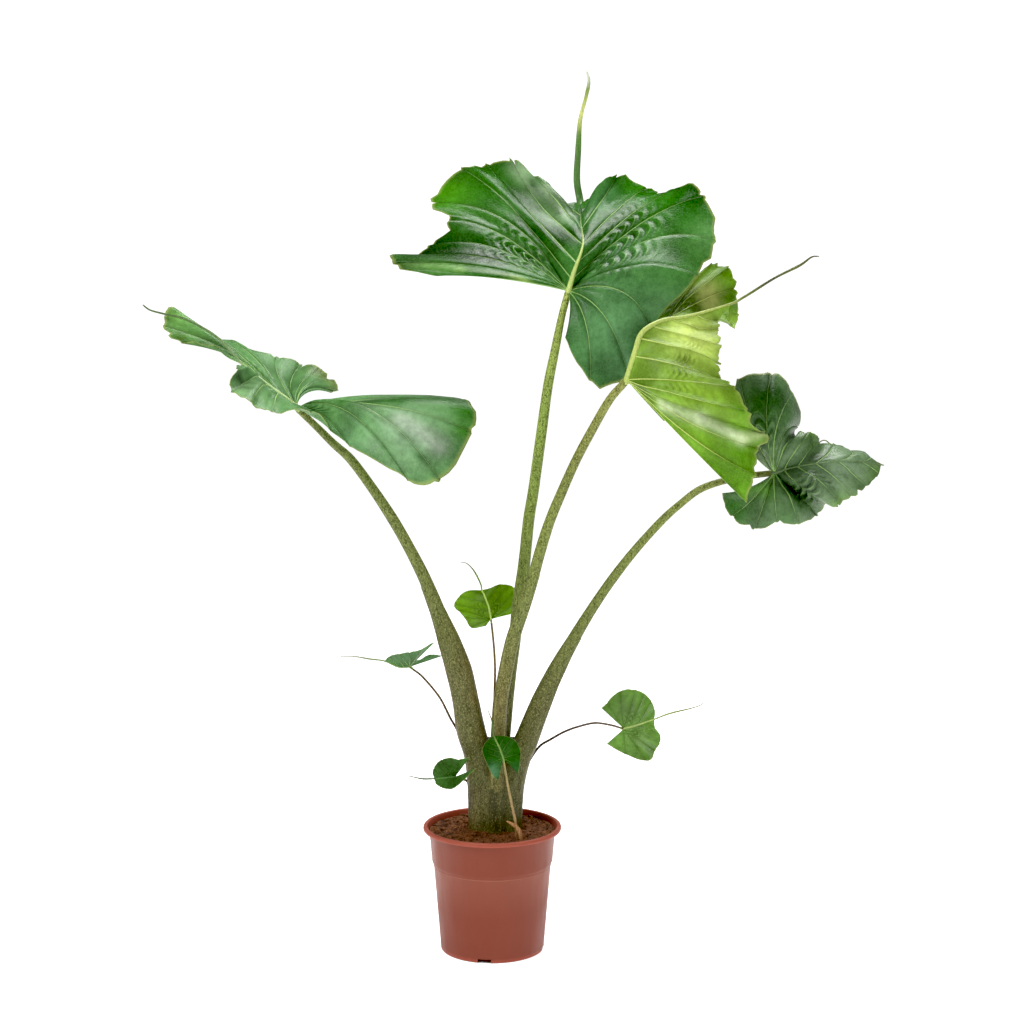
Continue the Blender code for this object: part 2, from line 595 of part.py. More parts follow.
def small_leaves():
    """The five small leaves, with straight ribs from the midrib to the points of the edge."""
    cutters = []
    sizes = {
        "steps": SMALL_BLADE_STEPS, "rows": SMALL_BLADE_ROWS, "thickness": SMALL_BLADE_THICKNESS,
        "spine": SMALL_SPINE_RINGS, "midrib": SMALL_MIDRIB_RADII, "tail": SMALL_TAIL_RADII,
    }
    for name, leaf in SMALL_LEAVES.items():
        neck = neck_point(leaf["stalk"], leaf["midrib"])
        halves = []
        for edge in leaf["halves"]:
            shares = np.linspace(0, 1, len(edge) + 1)[1:]
            back = np.maximum(0, 1 - shares / MIDRIB_SHARE)
            starts = through(leaf["midrib"], back * (len(leaf["midrib"]) - 1))
            ribs = [((start + end) / 2, end) for start, end in zip(starts, np.array(edge, float))]
            halves.append((MIDRIB_SHARE, ribs))
        blade("blade_" + name, leaf["midrib"], leaf["tail"], halves, neck, sizes, finish("small"))
        form = (SMALL_STALK_RADII, SMALL_STALK_SIDES, SMALL_STALK_RINGS)
        stalk_body("stalk_" + name, leaf, *form, finish("small_stalk"), 1.0)
        cutters.append(stalk_body("room_" + name, leaf, *form, None, 1.0, GAP))
    return cutters


def main():
    clear_scene()
    pot()
    soil(large_leaves() + small_leaves())


main()
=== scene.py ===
"""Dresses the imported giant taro: four large tailed leaves, five small ones, their stalks, the
peat and the nursery pot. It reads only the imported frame, in metres, with +Z up, and looks along
+Y as the photograph does. Lengths below are in millimetres unless a name says otherwise."""

import logging
import math
from dataclasses import dataclass, replace
from enum import Enum
from typing import ClassVar

import bmesh
import bpy
import numpy as np
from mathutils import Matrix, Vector, noise

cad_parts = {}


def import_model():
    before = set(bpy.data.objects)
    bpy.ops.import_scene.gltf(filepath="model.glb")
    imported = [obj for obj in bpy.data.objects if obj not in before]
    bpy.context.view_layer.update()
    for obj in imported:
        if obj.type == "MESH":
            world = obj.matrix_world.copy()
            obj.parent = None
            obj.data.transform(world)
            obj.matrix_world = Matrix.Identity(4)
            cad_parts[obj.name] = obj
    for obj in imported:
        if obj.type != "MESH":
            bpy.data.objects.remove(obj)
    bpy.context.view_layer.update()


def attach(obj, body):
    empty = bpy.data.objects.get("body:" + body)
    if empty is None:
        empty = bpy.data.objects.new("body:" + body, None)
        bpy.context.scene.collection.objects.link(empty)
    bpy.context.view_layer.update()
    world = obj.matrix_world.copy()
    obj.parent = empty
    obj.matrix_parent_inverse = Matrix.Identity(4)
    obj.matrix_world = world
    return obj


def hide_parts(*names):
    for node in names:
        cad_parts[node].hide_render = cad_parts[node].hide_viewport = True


LOG = logging.getLogger("taro")

Point = tuple[float, float, float]
Rib = tuple[Point, Point]
Colour = tuple[float, float, float]

MM = 0.001
CURVE_SAMPLES = 600
MERGE = 0.00001  # metres within which points are one

# The stalk stops this far short of the blade's root, at this share of its last radius.
NECK = 6.0
NECK_SHARE = 0.92

# How an uneven wave adds up: each part's pace and height, the sum's scale, and the slow swell.
WAVE_PARTS = ((0.6, 0.5), (1.0, 1.0), (1.7, 0.5), (2.6, 0.25))
WAVE_SCALE = 1.6
SWELL_PACE = 0.31
SWELL_LEAST = 0.35

# A blade narrower than this has its relief scaled down in step.
FULL_BREADTH = 60.0

# Where a vein's neighbours lie in the space between two veins, closer near the veins.
GAP_STEPS = (0.0, 0.045, 0.12, 0.25, 0.42, 0.58, 0.75, 0.88, 0.955)


def shade(red: int, green: int, blue: int) -> Colour:
    """Turns an sRGB colour from 0 to 255 into the linear one that Blender uses.

    Args:
        red: the red level.
        green: the green level.
        blue: the blue level.

    Returns:
        The three linear levels.
    """

    def linear(level: int) -> float:
        """One level in linear light."""
        part = level / 255
        return part / 12.92 if part <= 0.04045 else ((part + 0.055) / 1.055) ** 2.4

    return linear(red), linear(green), linear(blue)


def through(points: np.ndarray | list[Point], places: np.ndarray) -> np.ndarray:
    """Reads a smooth curve that passes through every point.

    Args:
        points: the points that it passes through, or rows of values.
        places: where to read it, counted along the points from 0.

    Returns:
        One row for each place.
    """
    points = np.asarray(points, float)
    last = len(points) - 1
    places = np.clip(np.atleast_1d(places), 0, last)
    index = np.minimum(places.astype(int), last - 1)
    part = (places - index)[:, None]
    extended = np.vstack([2 * points[0] - points[1], points, 2 * points[-1] - points[-2]])
    before, start, end, after = (extended[index + step] for step in range(4))
    return 0.5 * (
        2 * start
        + (end - before) * part
        + (2 * before - 5 * start + 4 * end - after) * part**2
        + (3 * start - before - 3 * end + after) * part**3
    )


def along(points: list[Point], values: list[float], count: int) -> tuple[np.ndarray, np.ndarray]:
    """Spaces points evenly along a smooth curve.

    Args:
        points: the points that the curve passes through.
        values: levels spread evenly over the points.
        count: how many points to give.

    Returns:
        The points, and the level at each.
    """
    fine = through(points, np.linspace(0, len(points) - 1, CURVE_SAMPLES))
    run = np.concatenate([[0], np.cumsum(np.linalg.norm(np.diff(fine, axis=0), axis=1))])
    spots = np.interp(
        np.linspace(0, run[-1], count), run, np.linspace(0, len(points) - 1, CURVE_SAMPLES)
    )
    levels = np.interp(spots / (len(points) - 1), np.linspace(0, 1, len(values)), values)
    return through(points, spots), levels


def smooth(low: float, high: float, value: np.ndarray | float) -> np.ndarray | float:
    """Rises smoothly from 0 at low to 1 at high."""
    part = np.clip((value - low) / (high - low), 0, 1)
    return part * part * (3 - 2 * part)


def wander(seed: int, count: int, waves: int) -> np.ndarray:
    """A repeatable uneven wave along a line, between about -1 and 1.

    Args:
        seed: picks the wave.
        count: how many values to give.
        waves: how many main waves the line has.

    Returns:
        The values along the line.
    """
    draw = np.random.default_rng(seed)
    line = np.linspace(0, 1, count)
    total = np.zeros(count)
    for pace, size in WAVE_PARTS:
        phase = draw.uniform(0, 2 * math.pi)
        total += size * np.sin(2 * math.pi * waves * pace * line + phase)
    level = 0.5 + 0.5 * np.sin(2 * math.pi * waves * SWELL_PACE * line + draw.uniform(0, 6.28))
    return total / WAVE_SCALE * (SWELL_LEAST + (1 - SWELL_LEAST) * level)


def gradient(
    count: int, colours: tuple[Colour, ...], marks: list[float] | None = None
) -> np.ndarray:
    """Runs colours along a line.

    Args:
        count: how many places the line has.
        colours: the linear colours.
        marks: where on the line, from 0 to 1, each colour lies, if not evenly.

    Returns:
        One colour for each place.
    """
    line, hues = np.linspace(0, 1, count), np.array(colours)
    marks = np.linspace(0, 1, len(hues)) if marks is None else marks
    return np.stack([np.interp(line, marks, hues[:, part]) for part in range(3)], axis=1)


def shades(*rows: tuple[int, int, int]) -> tuple[Colour, ...]:
    """Several sRGB colours as linear ones."""
    return tuple(shade(*row) for row in rows)


class Slot(Enum):
    """The record's material slots."""

    POT = "pot"
    PEAT = "peat"
    STALK = "stalk"
    SMALL_STALK = "small_stalk"
    LEFT = "leaf_left"
    DARK = "leaf_dark"
    LIME = "leaf_lime"
    UPPER = "leaf_upper"
    SMALL = "leaf_small"


@dataclass(frozen=True)
class Patch:
    """A soft-edged place on a leaf or stalk, drawn out as far as to, in the thing's own colour or
    as painted shade or a painted highlight.
    """

    at: Point
    reach: float
    colour: Colour
    share: float = 0.8
    to: Point | None = None

    def over(self, colours: np.ndarray, places: np.ndarray) -> np.ndarray:
        """Lays the patch over the colours.

        Args:
            colours: linear colours, one row for each place.
            places: the places, in millimetres.

        Returns:
            The new colours.
        """
        start = np.array(self.at, float)
        run = np.array(self.to or self.at, float) - start
        part = np.clip((places - start) @ run / max(run @ run, 1.0), 0, 1)
        far = np.linalg.norm(places - start - part[..., None] * run, axis=-1) / self.reach
        level = (self.share * np.exp(-(far**2)))[..., None]
        return colours * (1 - level) + np.array(self.colour) * level


class Recipe:
    """A procedural material, built node by node."""

    def __init__(self, name: str) -> None:
        """Starts an empty material with its Principled shader.

        Args:
            name: the material's name.
        """
        self.material = bpy.data.materials.new(name)
        self.material.use_nodes = True
        self.tree = self.material.node_tree
        self.shader = self.tree.nodes["Principled BSDF"]

    def add(self, kind: str, inputs: dict | None = None, **settings: object) -> bpy.types.Node:
        """Adds a node.

        Args:
            kind: the node's type, without ShaderNode.
            inputs: a value or an output socket for each input, by name or number.
            **settings: the node's own settings.

        Returns:
            The node.
        """
        node = self.tree.nodes.new("ShaderNode" + kind)
        for key, value in settings.items():
            setattr(node, key, value)
        for key, value in (inputs or {}).items():
            self.put(node.inputs[key], value)
        return node

    def put(self, socket: bpy.types.NodeSocket, value: object) -> None:
        """Links an output to the socket, or sets the socket's own value.

        Args:
            socket: the input.
            value: an output to link, a colour or a plain value.
        """
        if isinstance(value, bpy.types.NodeSocket):
            self.tree.links.new(value, socket)
        elif isinstance(value, tuple) and len(value) == 3 and socket.type == "RGBA":
            socket.default_value = (*value, 1)
        else:
            socket.default_value = value

    def math(self, operation: str, first: object, second: object = 0.0) -> bpy.types.NodeSocket:
        """The output of a Math node."""
        return self.add("Math", {0: first, 1: second}, operation=operation).outputs[0]

    def times(self, first: object, second: object) -> bpy.types.NodeSocket:
        """Two levels multiplied."""
        return self.math("MULTIPLY", first, second)

    def plus(self, first: object, second: object) -> bpy.types.NodeSocket:
        """Two levels added."""
        return self.math("ADD", first, second)

    def ramp(self, value: object, low: float, high: float, start: float, end: float) -> object:
        """The output of a smooth Map Range node from low..high to start..end."""
        inputs = {0: value, 1: low, 2: high, 3: start, 4: end}
        return self.add("MapRange", inputs, interpolation_type="SMOOTHSTEP").outputs[0]

    def blend(self, share: object, under: object, over: object, how: str = "MIX") -> object:
        """Mixes two colours.

        Args:
            share: how much of the second shows.
            under: the first colour.
            over: the second colour.
            how: the blend type.

        Returns:
            The mixed colour's output.
        """
        node = self.add("Mix", data_type="RGBA", blend_type=how)
        self.put(node.inputs[0], share)
        self.put(node.inputs[6], under)
        self.put(node.inputs[7], over)
        return node.outputs[2]

    def place(self, scale: Point = (1, 1, 1)) -> object:
        """Object coordinates, stretched by scale."""
        spot = self.add("TexCoord").outputs["Object"]
        return self.add("Mapping", {0: spot, "Scale": scale}).outputs[0]

    def cloud(self, vector: object, scale: float, detail: float = 3, rough: float = 0.55) -> object:
        """The output of a noise texture."""
        inputs = {"Vector": vector, "Scale": scale, "Detail": detail, "Roughness": rough}
        return self.add("TexNoise", inputs).outputs[0]

    def level(self, name: str) -> object:
        """The number that a vertex attribute holds."""
        return self.add("Attribute", attribute_name=name).outputs["Fac"]

    def hue(self, name: str) -> object:
        """The colour that a vertex attribute holds."""
        return self.add("Attribute", attribute_name=name).outputs["Color"]

    def relief(self, height: object, depth: float) -> object:
        """The output of a Bump node whose height of 1 stands depth metres proud."""
        inputs = {"Height": height, "Distance": depth, "Strength": 1.0}
        return self.add("Bump", inputs).outputs[0]

    def grey(self, level: object) -> object:
        """A grey whose every channel is the level."""
        return self.add("CombineColor", {0: level, 1: level, 2: level}).outputs[0]

    def finish(
        self, colour: object, roughness: object, normal: object = None, gloss: float | None = None
    ) -> bpy.types.Material:
        """Joins the outputs to the shader.

        Args:
            colour: the base colour.
            roughness: the roughness.
            normal: the bumped normal, if any.
            gloss: the specular level, if it isn't the shader's own.

        Returns:
            The finished material.
        """
        self.put(self.shader.inputs["Base Color"], colour)
        self.put(self.shader.inputs["Roughness"], roughness)
        if normal:
            self.put(self.shader.inputs["Normal"], normal)
        if gloss is not None:
            self.put(self.shader.inputs["Specular IOR Level"], gloss)
        return self.material


@dataclass(frozen=True)
class LeafSkin:
    """One face of a leaf: its painted colour, its veins, painted shade beside the veins and in the
    pucker troughs, a painted highlight on the pucker crests, its gloss and its fine relief.
    """

    name: str
    vein: Colour
    roughness: float
    vein_width: float = 1.5
    vein_share: float = 0.75
    sunken: bool = True
    net: float = 0.35
    edge: Colour = (0.30, 0.34, 0.10)
    gloss: float = 0.13
    tone: float = 0.62
    # how much painted shade darkens the blade beside its sunken veins
    vein_shade: float = 0.16
    # how much painted shade darkens the pucker troughs
    dip: float = 0.55
    net_scale: float = 210.0
    broad_scale: float = 16.0
    fine_scale: float = 130.0
    depth: float = 0.0011

    def material(self) -> bpy.types.Material:
        """Builds the face's material from the leaf's own attributes.

        Returns:
            The material.
        """
        recipe = Recipe(self.name)
        spot = recipe.place()
        out = recipe.level("out")
        far = recipe.level("vein")
        width = recipe.ramp(out, 0.0, 1.0, self.vein_width, self.vein_width * 0.3)
        ratio = recipe.math("DIVIDE", far, width)
        vein = recipe.ramp(ratio, 0.35, 1.25, 1.0, 0.0)
        fade = recipe.ramp(out, 0.55, 1.0, self.vein_share, self.vein_share * 0.45)
        cross = recipe.math("SINE", recipe.level("cross"))
        line = recipe.ramp(cross, 0.86, 1.0, 0.0, 1.0)
        cells = {"Vector": spot, "Scale": self.net_scale}
        net = recipe.add("TexVoronoi", cells, feature="DISTANCE_TO_EDGE")
        mesh = recipe.ramp(net.outputs[0], 0.0, 0.16, 1.0, 0.0)
        broad = recipe.cloud(spot, self.broad_scale, 4)
        fine = recipe.cloud(spot, self.fine_scale, 4, 0.6)
        tint = recipe.blend(1.0, recipe.hue("tint"), (self.tone,) * 3, "MULTIPLY")
        dim = recipe.ramp(broad, 0.32, 0.68, 0.66, 1.28)
        grain = recipe.ramp(fine, 0.25, 0.75, 0.86, 1.14)
        both = recipe.times(dim, grain)
        # Painted shade: the colour darkens beside the sunken veins.
        vein_shade = recipe.ramp(far, 0.5, 7.0, 1.0 - self.vein_shade, 1.0)
        both = recipe.times(both, vein_shade)
        # Painted shade: the pucker troughs are darkened.
        dip = recipe.ramp(cross, -1.0, -0.1, self.dip, 0.0)
        dip = recipe.times(dip, recipe.level("fold"))
        both = recipe.times(both, recipe.math("SUBTRACT", 1.0, dip))
        colour = recipe.blend(1.0, tint, recipe.grey(both), "MULTIPLY")
        soft = recipe.times(mesh, self.net * 0.16)
        colour = recipe.blend(soft, colour, self.vein)
        # Painted highlight: the pucker crests take the pale vein colour.
        folded = recipe.times(line, recipe.level("fold"))
        colour = recipe.blend(recipe.times(folded, self.net), colour, self.vein)
        colour = recipe.blend(recipe.times(vein, fade), colour, self.vein)
        rim = recipe.ramp(out, 0.975, 1.0, 0.0, 0.6)
        colour = recipe.blend(rim, colour, self.edge)
        roughness = recipe.ramp(fine, 0.3, 0.7, self.roughness - 0.05, self.roughness + 0.08)
        side = -1.0 if self.sunken else 1.0
        ribbed = recipe.times(cross, recipe.level("fold"))
        height = recipe.times(vein, side * 0.9)
        for part, share in ((ribbed, 0.5), (mesh, side * 0.10), (broad, 0.9), (fine, 0.12)):
            height = recipe.plus(height, recipe.times(part, share))
        return recipe.finish(colour, roughness, recipe.relief(height, self.depth), self.gloss)


@dataclass(frozen=True)
class StalkSkin:
    """A stalk's skin: painted along its length, with fine speckles drawn out lengthways."""

    name: str
    speckle: Colour
    amount: float = 0.7
    roughness: float = 0.5
    speckles: float = 620.0
    pale: Colour = (0.42, 0.40, 0.14)
    gloss: float = 0.28
    depth: float = 0.00035

    def material(self) -> bpy.types.Material:
        """Builds the skin's material.

        Returns:
            The material.
        """
        recipe = Recipe(self.name)
        long = recipe.place((1, 1, 0.6))
        longer = recipe.place((1, 1, 0.05))
        fine = recipe.cloud(long, self.speckles, 3, 0.65)
        broad = recipe.cloud(long, 150.0, 4, 0.6)
        streak = recipe.cloud(longer, 420.0, 3, 0.6)
        mask = recipe.ramp(fine, 0.48, 0.56, 0.0, self.amount)
        light = recipe.ramp(fine, 0.36, 0.44, self.amount * 0.75, 0.0)
        patchy = recipe.ramp(broad, 0.34, 0.60, 0.30, 1.0)
        tint = recipe.hue("tint")
        colour = recipe.blend(light, tint, recipe.blend(0.5, tint, self.pale))
        colour = recipe.blend(recipe.times(mask, patchy), colour, self.speckle)
        line = recipe.ramp(streak, 0.35, 0.65, 0.86, 1.10)
        colour = recipe.blend(1.0, colour, recipe.grey(line), "MULTIPLY")
        height = recipe.plus(recipe.times(streak, 0.6), fine)
        roughness = recipe.ramp(broad, 0.3, 0.7, self.roughness - 0.08, self.roughness + 0.08)
        return recipe.finish(colour, roughness, recipe.relief(height, self.depth), self.gloss)


@dataclass(frozen=True)
class PotPlastic:
    """The pot's moulded terracotta plastic, a little rubbed, with a soft sheen."""

    colour: Colour = shade(143, 73, 58)
    rubbed: Colour = shade(154, 84, 68)
    worn: Colour = shade(205, 140, 120)
    # the dark of the drain slots and the pot's inside: dirt and painted shade
    dirt_and_shade_tone: Colour = shade(70, 40, 28)
    roughness: float = 0.45
    gloss: float = 0.18
    depth: float = 0.00006

    def material(self) -> bpy.types.Material:
        """Builds the plastic.

        Returns:
            The material.
        """
        recipe = Recipe("pot_plastic")
        spot = recipe.place()
        broad = recipe.cloud(spot, 9.0, 4)
        fine = recipe.cloud(spot, 700.0, 3)
        scuff = recipe.cloud(recipe.place((1, 1, 0.16)), 60.0, 5, 0.7)
        colour = recipe.blend(recipe.ramp(broad, 0.35, 0.7, 0.0, 0.25), self.colour, self.rubbed)
        mark = recipe.ramp(scuff, 0.60, 0.76, 0.0, 0.22)
        colour = recipe.blend(mark, colour, self.rubbed)
        # The slots and the inside of the pot take the dark colour, dirt and painted shade in these
        # recesses; the bead and lip are worn paler.
        for name, share, over in (("worn", 0.45, self.worn), ("grime", 0.55, self.dirt_and_shade_tone)):
            amount = recipe.times(recipe.level(name), share)
            colour = recipe.blend(amount, colour, over)
        roughness = recipe.ramp(scuff, 0.3, 0.7, self.roughness - 0.06, self.roughness + 0.10)
        return recipe.finish(colour, roughness, recipe.relief(fine, self.depth), self.gloss)


@dataclass(frozen=True)
class PeatCrumb:
    """Reddish brown peat with lighter fibres and dark damp places."""

    dark: Colour = shade(52, 30, 18)
    light: Colour = shade(128, 82, 50)
    fibre: Colour = shade(150, 98, 62)
    damp: Colour = shade(34, 19, 12)
    depth: float = 0.0016

    def material(self) -> bpy.types.Material:
        """Builds the peat.

        Returns:
            The material.
        """
        recipe = Recipe("peat")
        spot = recipe.place()
        broad = recipe.cloud(spot, 90.0, 5, 0.65)
        fine = recipe.cloud(spot, 520.0, 5, 0.75)
        colour = recipe.blend(recipe.ramp(broad, 0.3, 0.7, 0.0, 1.0), self.dark, self.light)
        colour = recipe.blend(recipe.ramp(fine, 0.55, 0.75, 0.0, 0.8), colour, self.fibre)
        colour = recipe.blend(recipe.ramp(fine, 0.25, 0.42, 0.8, 0.0), colour, self.damp)
        return recipe.finish(colour, 0.92, recipe.relief(fine, self.depth))


@dataclass(frozen=True)
class DryBits:
    """Dry plant matter: fibres, rootlets and the papery bract."""

    name: str
    pale: Colour
    deep: Colour

    def material(self) -> bpy.types.Material:
        """Builds the dry matter.

        Returns:
            The material.
        """
        recipe = Recipe(self.name)
        streak = recipe.cloud(recipe.place((1, 1, 0.2)), 420.0, 4, 0.6)
        colour = recipe.blend(recipe.ramp(streak, 0.35, 0.65, 0.0, 1.0), self.pale, self.deep)
        return recipe.finish(colour, 0.8, recipe.relief(streak, 0.0004))


@dataclass(frozen=True)
class StudioFloor:
    """The pale seamless floor, lit from below as a studio table is, but not under the pot."""

    colour: Colour = (0.93, 0.93, 0.93)
    pale: Colour = (0.96, 0.96, 0.955)
    lit: float = 0.80
    under: float = 0.074
    fade: float = 0.006

    def material(self) -> bpy.types.Material:
        """Builds the floor's material, with a faint unevenness.

        Returns:
            The material.
        """
        recipe = Recipe("studio_floor")
        broad = recipe.cloud(recipe.place(), 1.2, 2)
        colour = recipe.blend(recipe.ramp(broad, 0.3, 0.7, 0.0, 0.3), self.colour, self.pale)
        recipe.shader.inputs["Emission Color"].default_value = (1, 1, 1, 1)
        far = recipe.add("VectorMath", {0: recipe.place()}, operation="LENGTH").outputs["Value"]
        lit = recipe.ramp(far, self.under, self.under + self.fade, 0.0, self.lit)
        recipe.put(recipe.shader.inputs["Emission Strength"], lit)
        return recipe.finish(colour, 0.9)


def in_scene(
    name: str, maker: bmesh.types.BMesh, *materials: bpy.types.Material
) -> bpy.types.Object:
    """Puts a finished bmesh into the scene as a smooth-shaded piece on the plant's body.

    Args:
        name: the piece's name.
        maker: the bmesh, in metres. It is freed.
        *materials: the piece's materials.

    Returns:
        The piece.
    """
    mesh = bpy.data.meshes.new(name)
    maker.to_mesh(mesh)
    maker.free()
    mesh.shade_smooth()
    for material in materials:
        mesh.materials.append(material)
    piece = bpy.data.objects.new(name, mesh)
    bpy.context.scene.collection.objects.link(piece)
    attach(piece, "root")
    LOG.info("%s: %d faces", name, len(mesh.polygons))
    return piece


def wrapped_grid(maker: bmesh.types.BMesh, places: np.ndarray) -> list[list[bmesh.types.BMVert]]:
    """Adds a grid whose points lie at the given places.

    Args:
        maker: the bmesh that takes the grid.
        places: rows by columns of points, in millimetres.

    Returns:
        The vertices, by row and column.
    """
    rows, columns = places.shape[0] - 1, places.shape[1] - 1
    made = bmesh.ops.create_grid(maker, x_segments=columns, y_segments=rows, size=0.5)["verts"]
    sorted_verts: list[list] = [[None] * (columns + 1) for _ in range(rows + 1)]
    for vert in made:
        column = round((vert.co.x + 0.5) * columns)
        row = round((vert.co.y + 0.5) * rows)
        sorted_verts[row][column] = vert
    for row, line in enumerate(sorted_verts):
        for column, vert in enumerate(line):
            vert.co = places[row, column] * MM
    return sorted_verts


def paint(
    grid: list[list[bmesh.types.BMVert]], layer: bmesh.types.BMLayerItem, colours: np.ndarray
) -> None:
    """Writes a colour at each point of a grid."""
    for row, line in enumerate(grid):
        for column, vert in enumerate(line):
            vert[layer] = (*colours[row, column], 1)


def full_turn(sides: int) -> np.ndarray:
    """The directions round a ring, which ends exactly where it starts."""
    turns = np.linspace(0, 2 * math.pi, sides + 1)
    turns[-1] = 0
    return turns


def around(curve: np.ndarray, wide: np.ndarray, deep: np.ndarray) -> np.ndarray:
    """Places points round a curve.

    Args:
        curve: the curve's points.
        wide: how far each point lies across the curve, by row and column.
        deep: how far each lies in depth.

    Returns:
        The places, by row and column.
    """
    ways = np.gradient(curve, axis=0)
    ways /= np.linalg.norm(ways, axis=1)[:, None]
    depth = np.array([0.0, 1.0, 0.0]) - ways[:, 1:2] * ways
    depth /= np.linalg.norm(depth, axis=1)[:, None]
    across = np.cross(ways, depth)
    return curve[:, None] + wide[..., None] * across[:, None] + deep[..., None] * depth[:, None]


def close_ends(maker: bmesh.types.BMesh) -> None:
    """Merges seams, caps open ends and turns the faces outwards.

    Args:
        maker: the bmesh that this happens to.
    """
    bmesh.ops.remove_doubles(maker, verts=maker.verts, dist=MERGE)
    open_edges = [edge for edge in maker.edges if edge.is_boundary]
    if open_edges:
        bmesh.ops.holes_fill(maker, edges=open_edges, sides=0)
    bmesh.ops.recalc_face_normals(maker, faces=maker.faces)


def turned(profile: list[tuple[float, float]], steps: int) -> bmesh.types.BMesh:
    """Turns a section round Z.

    Args:
        profile: radius and height of each point, in millimetres.
        steps: how many steps go round.

    Returns:
        The closed bmesh, in metres.
    """
    maker = bmesh.new()
    verts = [maker.verts.new((radius * MM, 0, height * MM)) for radius, height in profile]
    edges = [maker.edges.new(pair) for pair in zip(verts, verts[1:])]
    bmesh.ops.spin(
        maker, geom=verts + edges, cent=(0, 0, 0), axis=(0, 0, 1), angle=2 * math.pi,
        steps=steps, use_merge=True,
    )
    close_ends(maker)
    return maker


@dataclass(frozen=True)
class LeafForm:
    """A leaf's curves, in millimetres as (across, away from the front, up).

    The stalk runs from the peat to the blade, the midrib from the blade's root to its tip, and
    the tail goes on from there. Each half is a list of ribs from the tip round to the cleft: a
    point half way out, and the point where the rib meets the edge.
    """

    stalk: list[Point]
    midrib: list[Point]
    tail: list[Point]
    halves: tuple[list[Rib], list[Rib]]
    midrib_shares: tuple[float, float] = (0.5, 0.5)
    radii: tuple[float, ...] = (2.0, 1.7)

    def neck(self) -> Point:
        """The point just short of the blade's root, where the stalk meets it."""
        way = np.subtract(self.midrib[0], self.stalk[-1]).astype(float)
        return tuple(np.array(self.midrib[0]) - NECK * way / np.linalg.norm(way))

    def run(self, count: int) -> tuple[np.ndarray, np.ndarray]:
        """Even points along the stalk up to the neck, and the radius at each."""
        levels = [*self.radii, self.radii[-1] * NECK_SHARE]
        return along([*self.stalk, self.neck()], levels, count)

    @classmethod
    def small(
        cls, stalk: list[Point], midrib: list[Point], tail: list[Point],
        edges: tuple[list[Point], list[Point]],
    ) -> "LeafForm":
        """A small leaf, whose ribs run straight from the midrib to the points of its edge.

        Args:
            stalk: the stalk's points.
            midrib: the midrib's points.
            tail: the tail's points.
            edges: the edge points of each half, from the tip to the end of the back lobe.

        Returns:
            The leaf's form.
        """
        halves = []
        for edge in edges:
            shares = np.linspace(0, 1, len(edge) + 1)[1:]
            starts = through(midrib, np.maximum(0, 1 - shares / 0.5) * (len(midrib) - 1))
            ends = np.array(edge, float)
            halves.append([((start + end) / 2, end) for start, end in zip(starts, ends)])
        return cls(stalk, midrib, tail, (halves[0], halves[1]))


@dataclass(frozen=True)
class Fold:
    """A long rise or dip that follows a blade's ribs."""

    side: int
    share: float
    breadth: float
    rise: float
    start: float = 0.1
    end: float = 1.0

    def lift(self, shares: np.ndarray, out: np.ndarray) -> np.ndarray:
        """The fold's height over a half blade.

        Args:
            shares: the rows' shares.
            out: the columns' reach out from the midrib.

        Returns:
            The height in millimetres, by row and column.
        """
        over = np.exp(-(((shares[:, None] - self.share) / self.breadth) ** 2))
        span = self.end - self.start
        along_rib = smooth(self.start, self.start + span * 0.4, out)
        if self.end < 1.0:
            along_rib = along_rib * smooth(self.end, self.end - span * 0.4, out)
        return self.rise * over * along_rib


@dataclass(frozen=True)
class Relief:
    """How a blade's surface rises and falls between its veins and along its margin."""

    side_gaps: int = 6
    lobe_gaps: int = 5
    rows: int = 84
    puff: float = 1.6
    pucker: float = 1.2
    pucker_places: tuple[float, float] = (0.27, 0.27)
    pucker_reach: float = 0.17
    pucker_ribs: tuple[float, float] = (0.42, 0.42)
    pucker_breadth: float = 0.17
    cross_folds: float = 15.0
    ruffle: float = 3.0
    waves: int = 9
    crimp: float = 0.8
    ragged: float = 1.6
    thickness: float = 0.7
    seed: int = 1


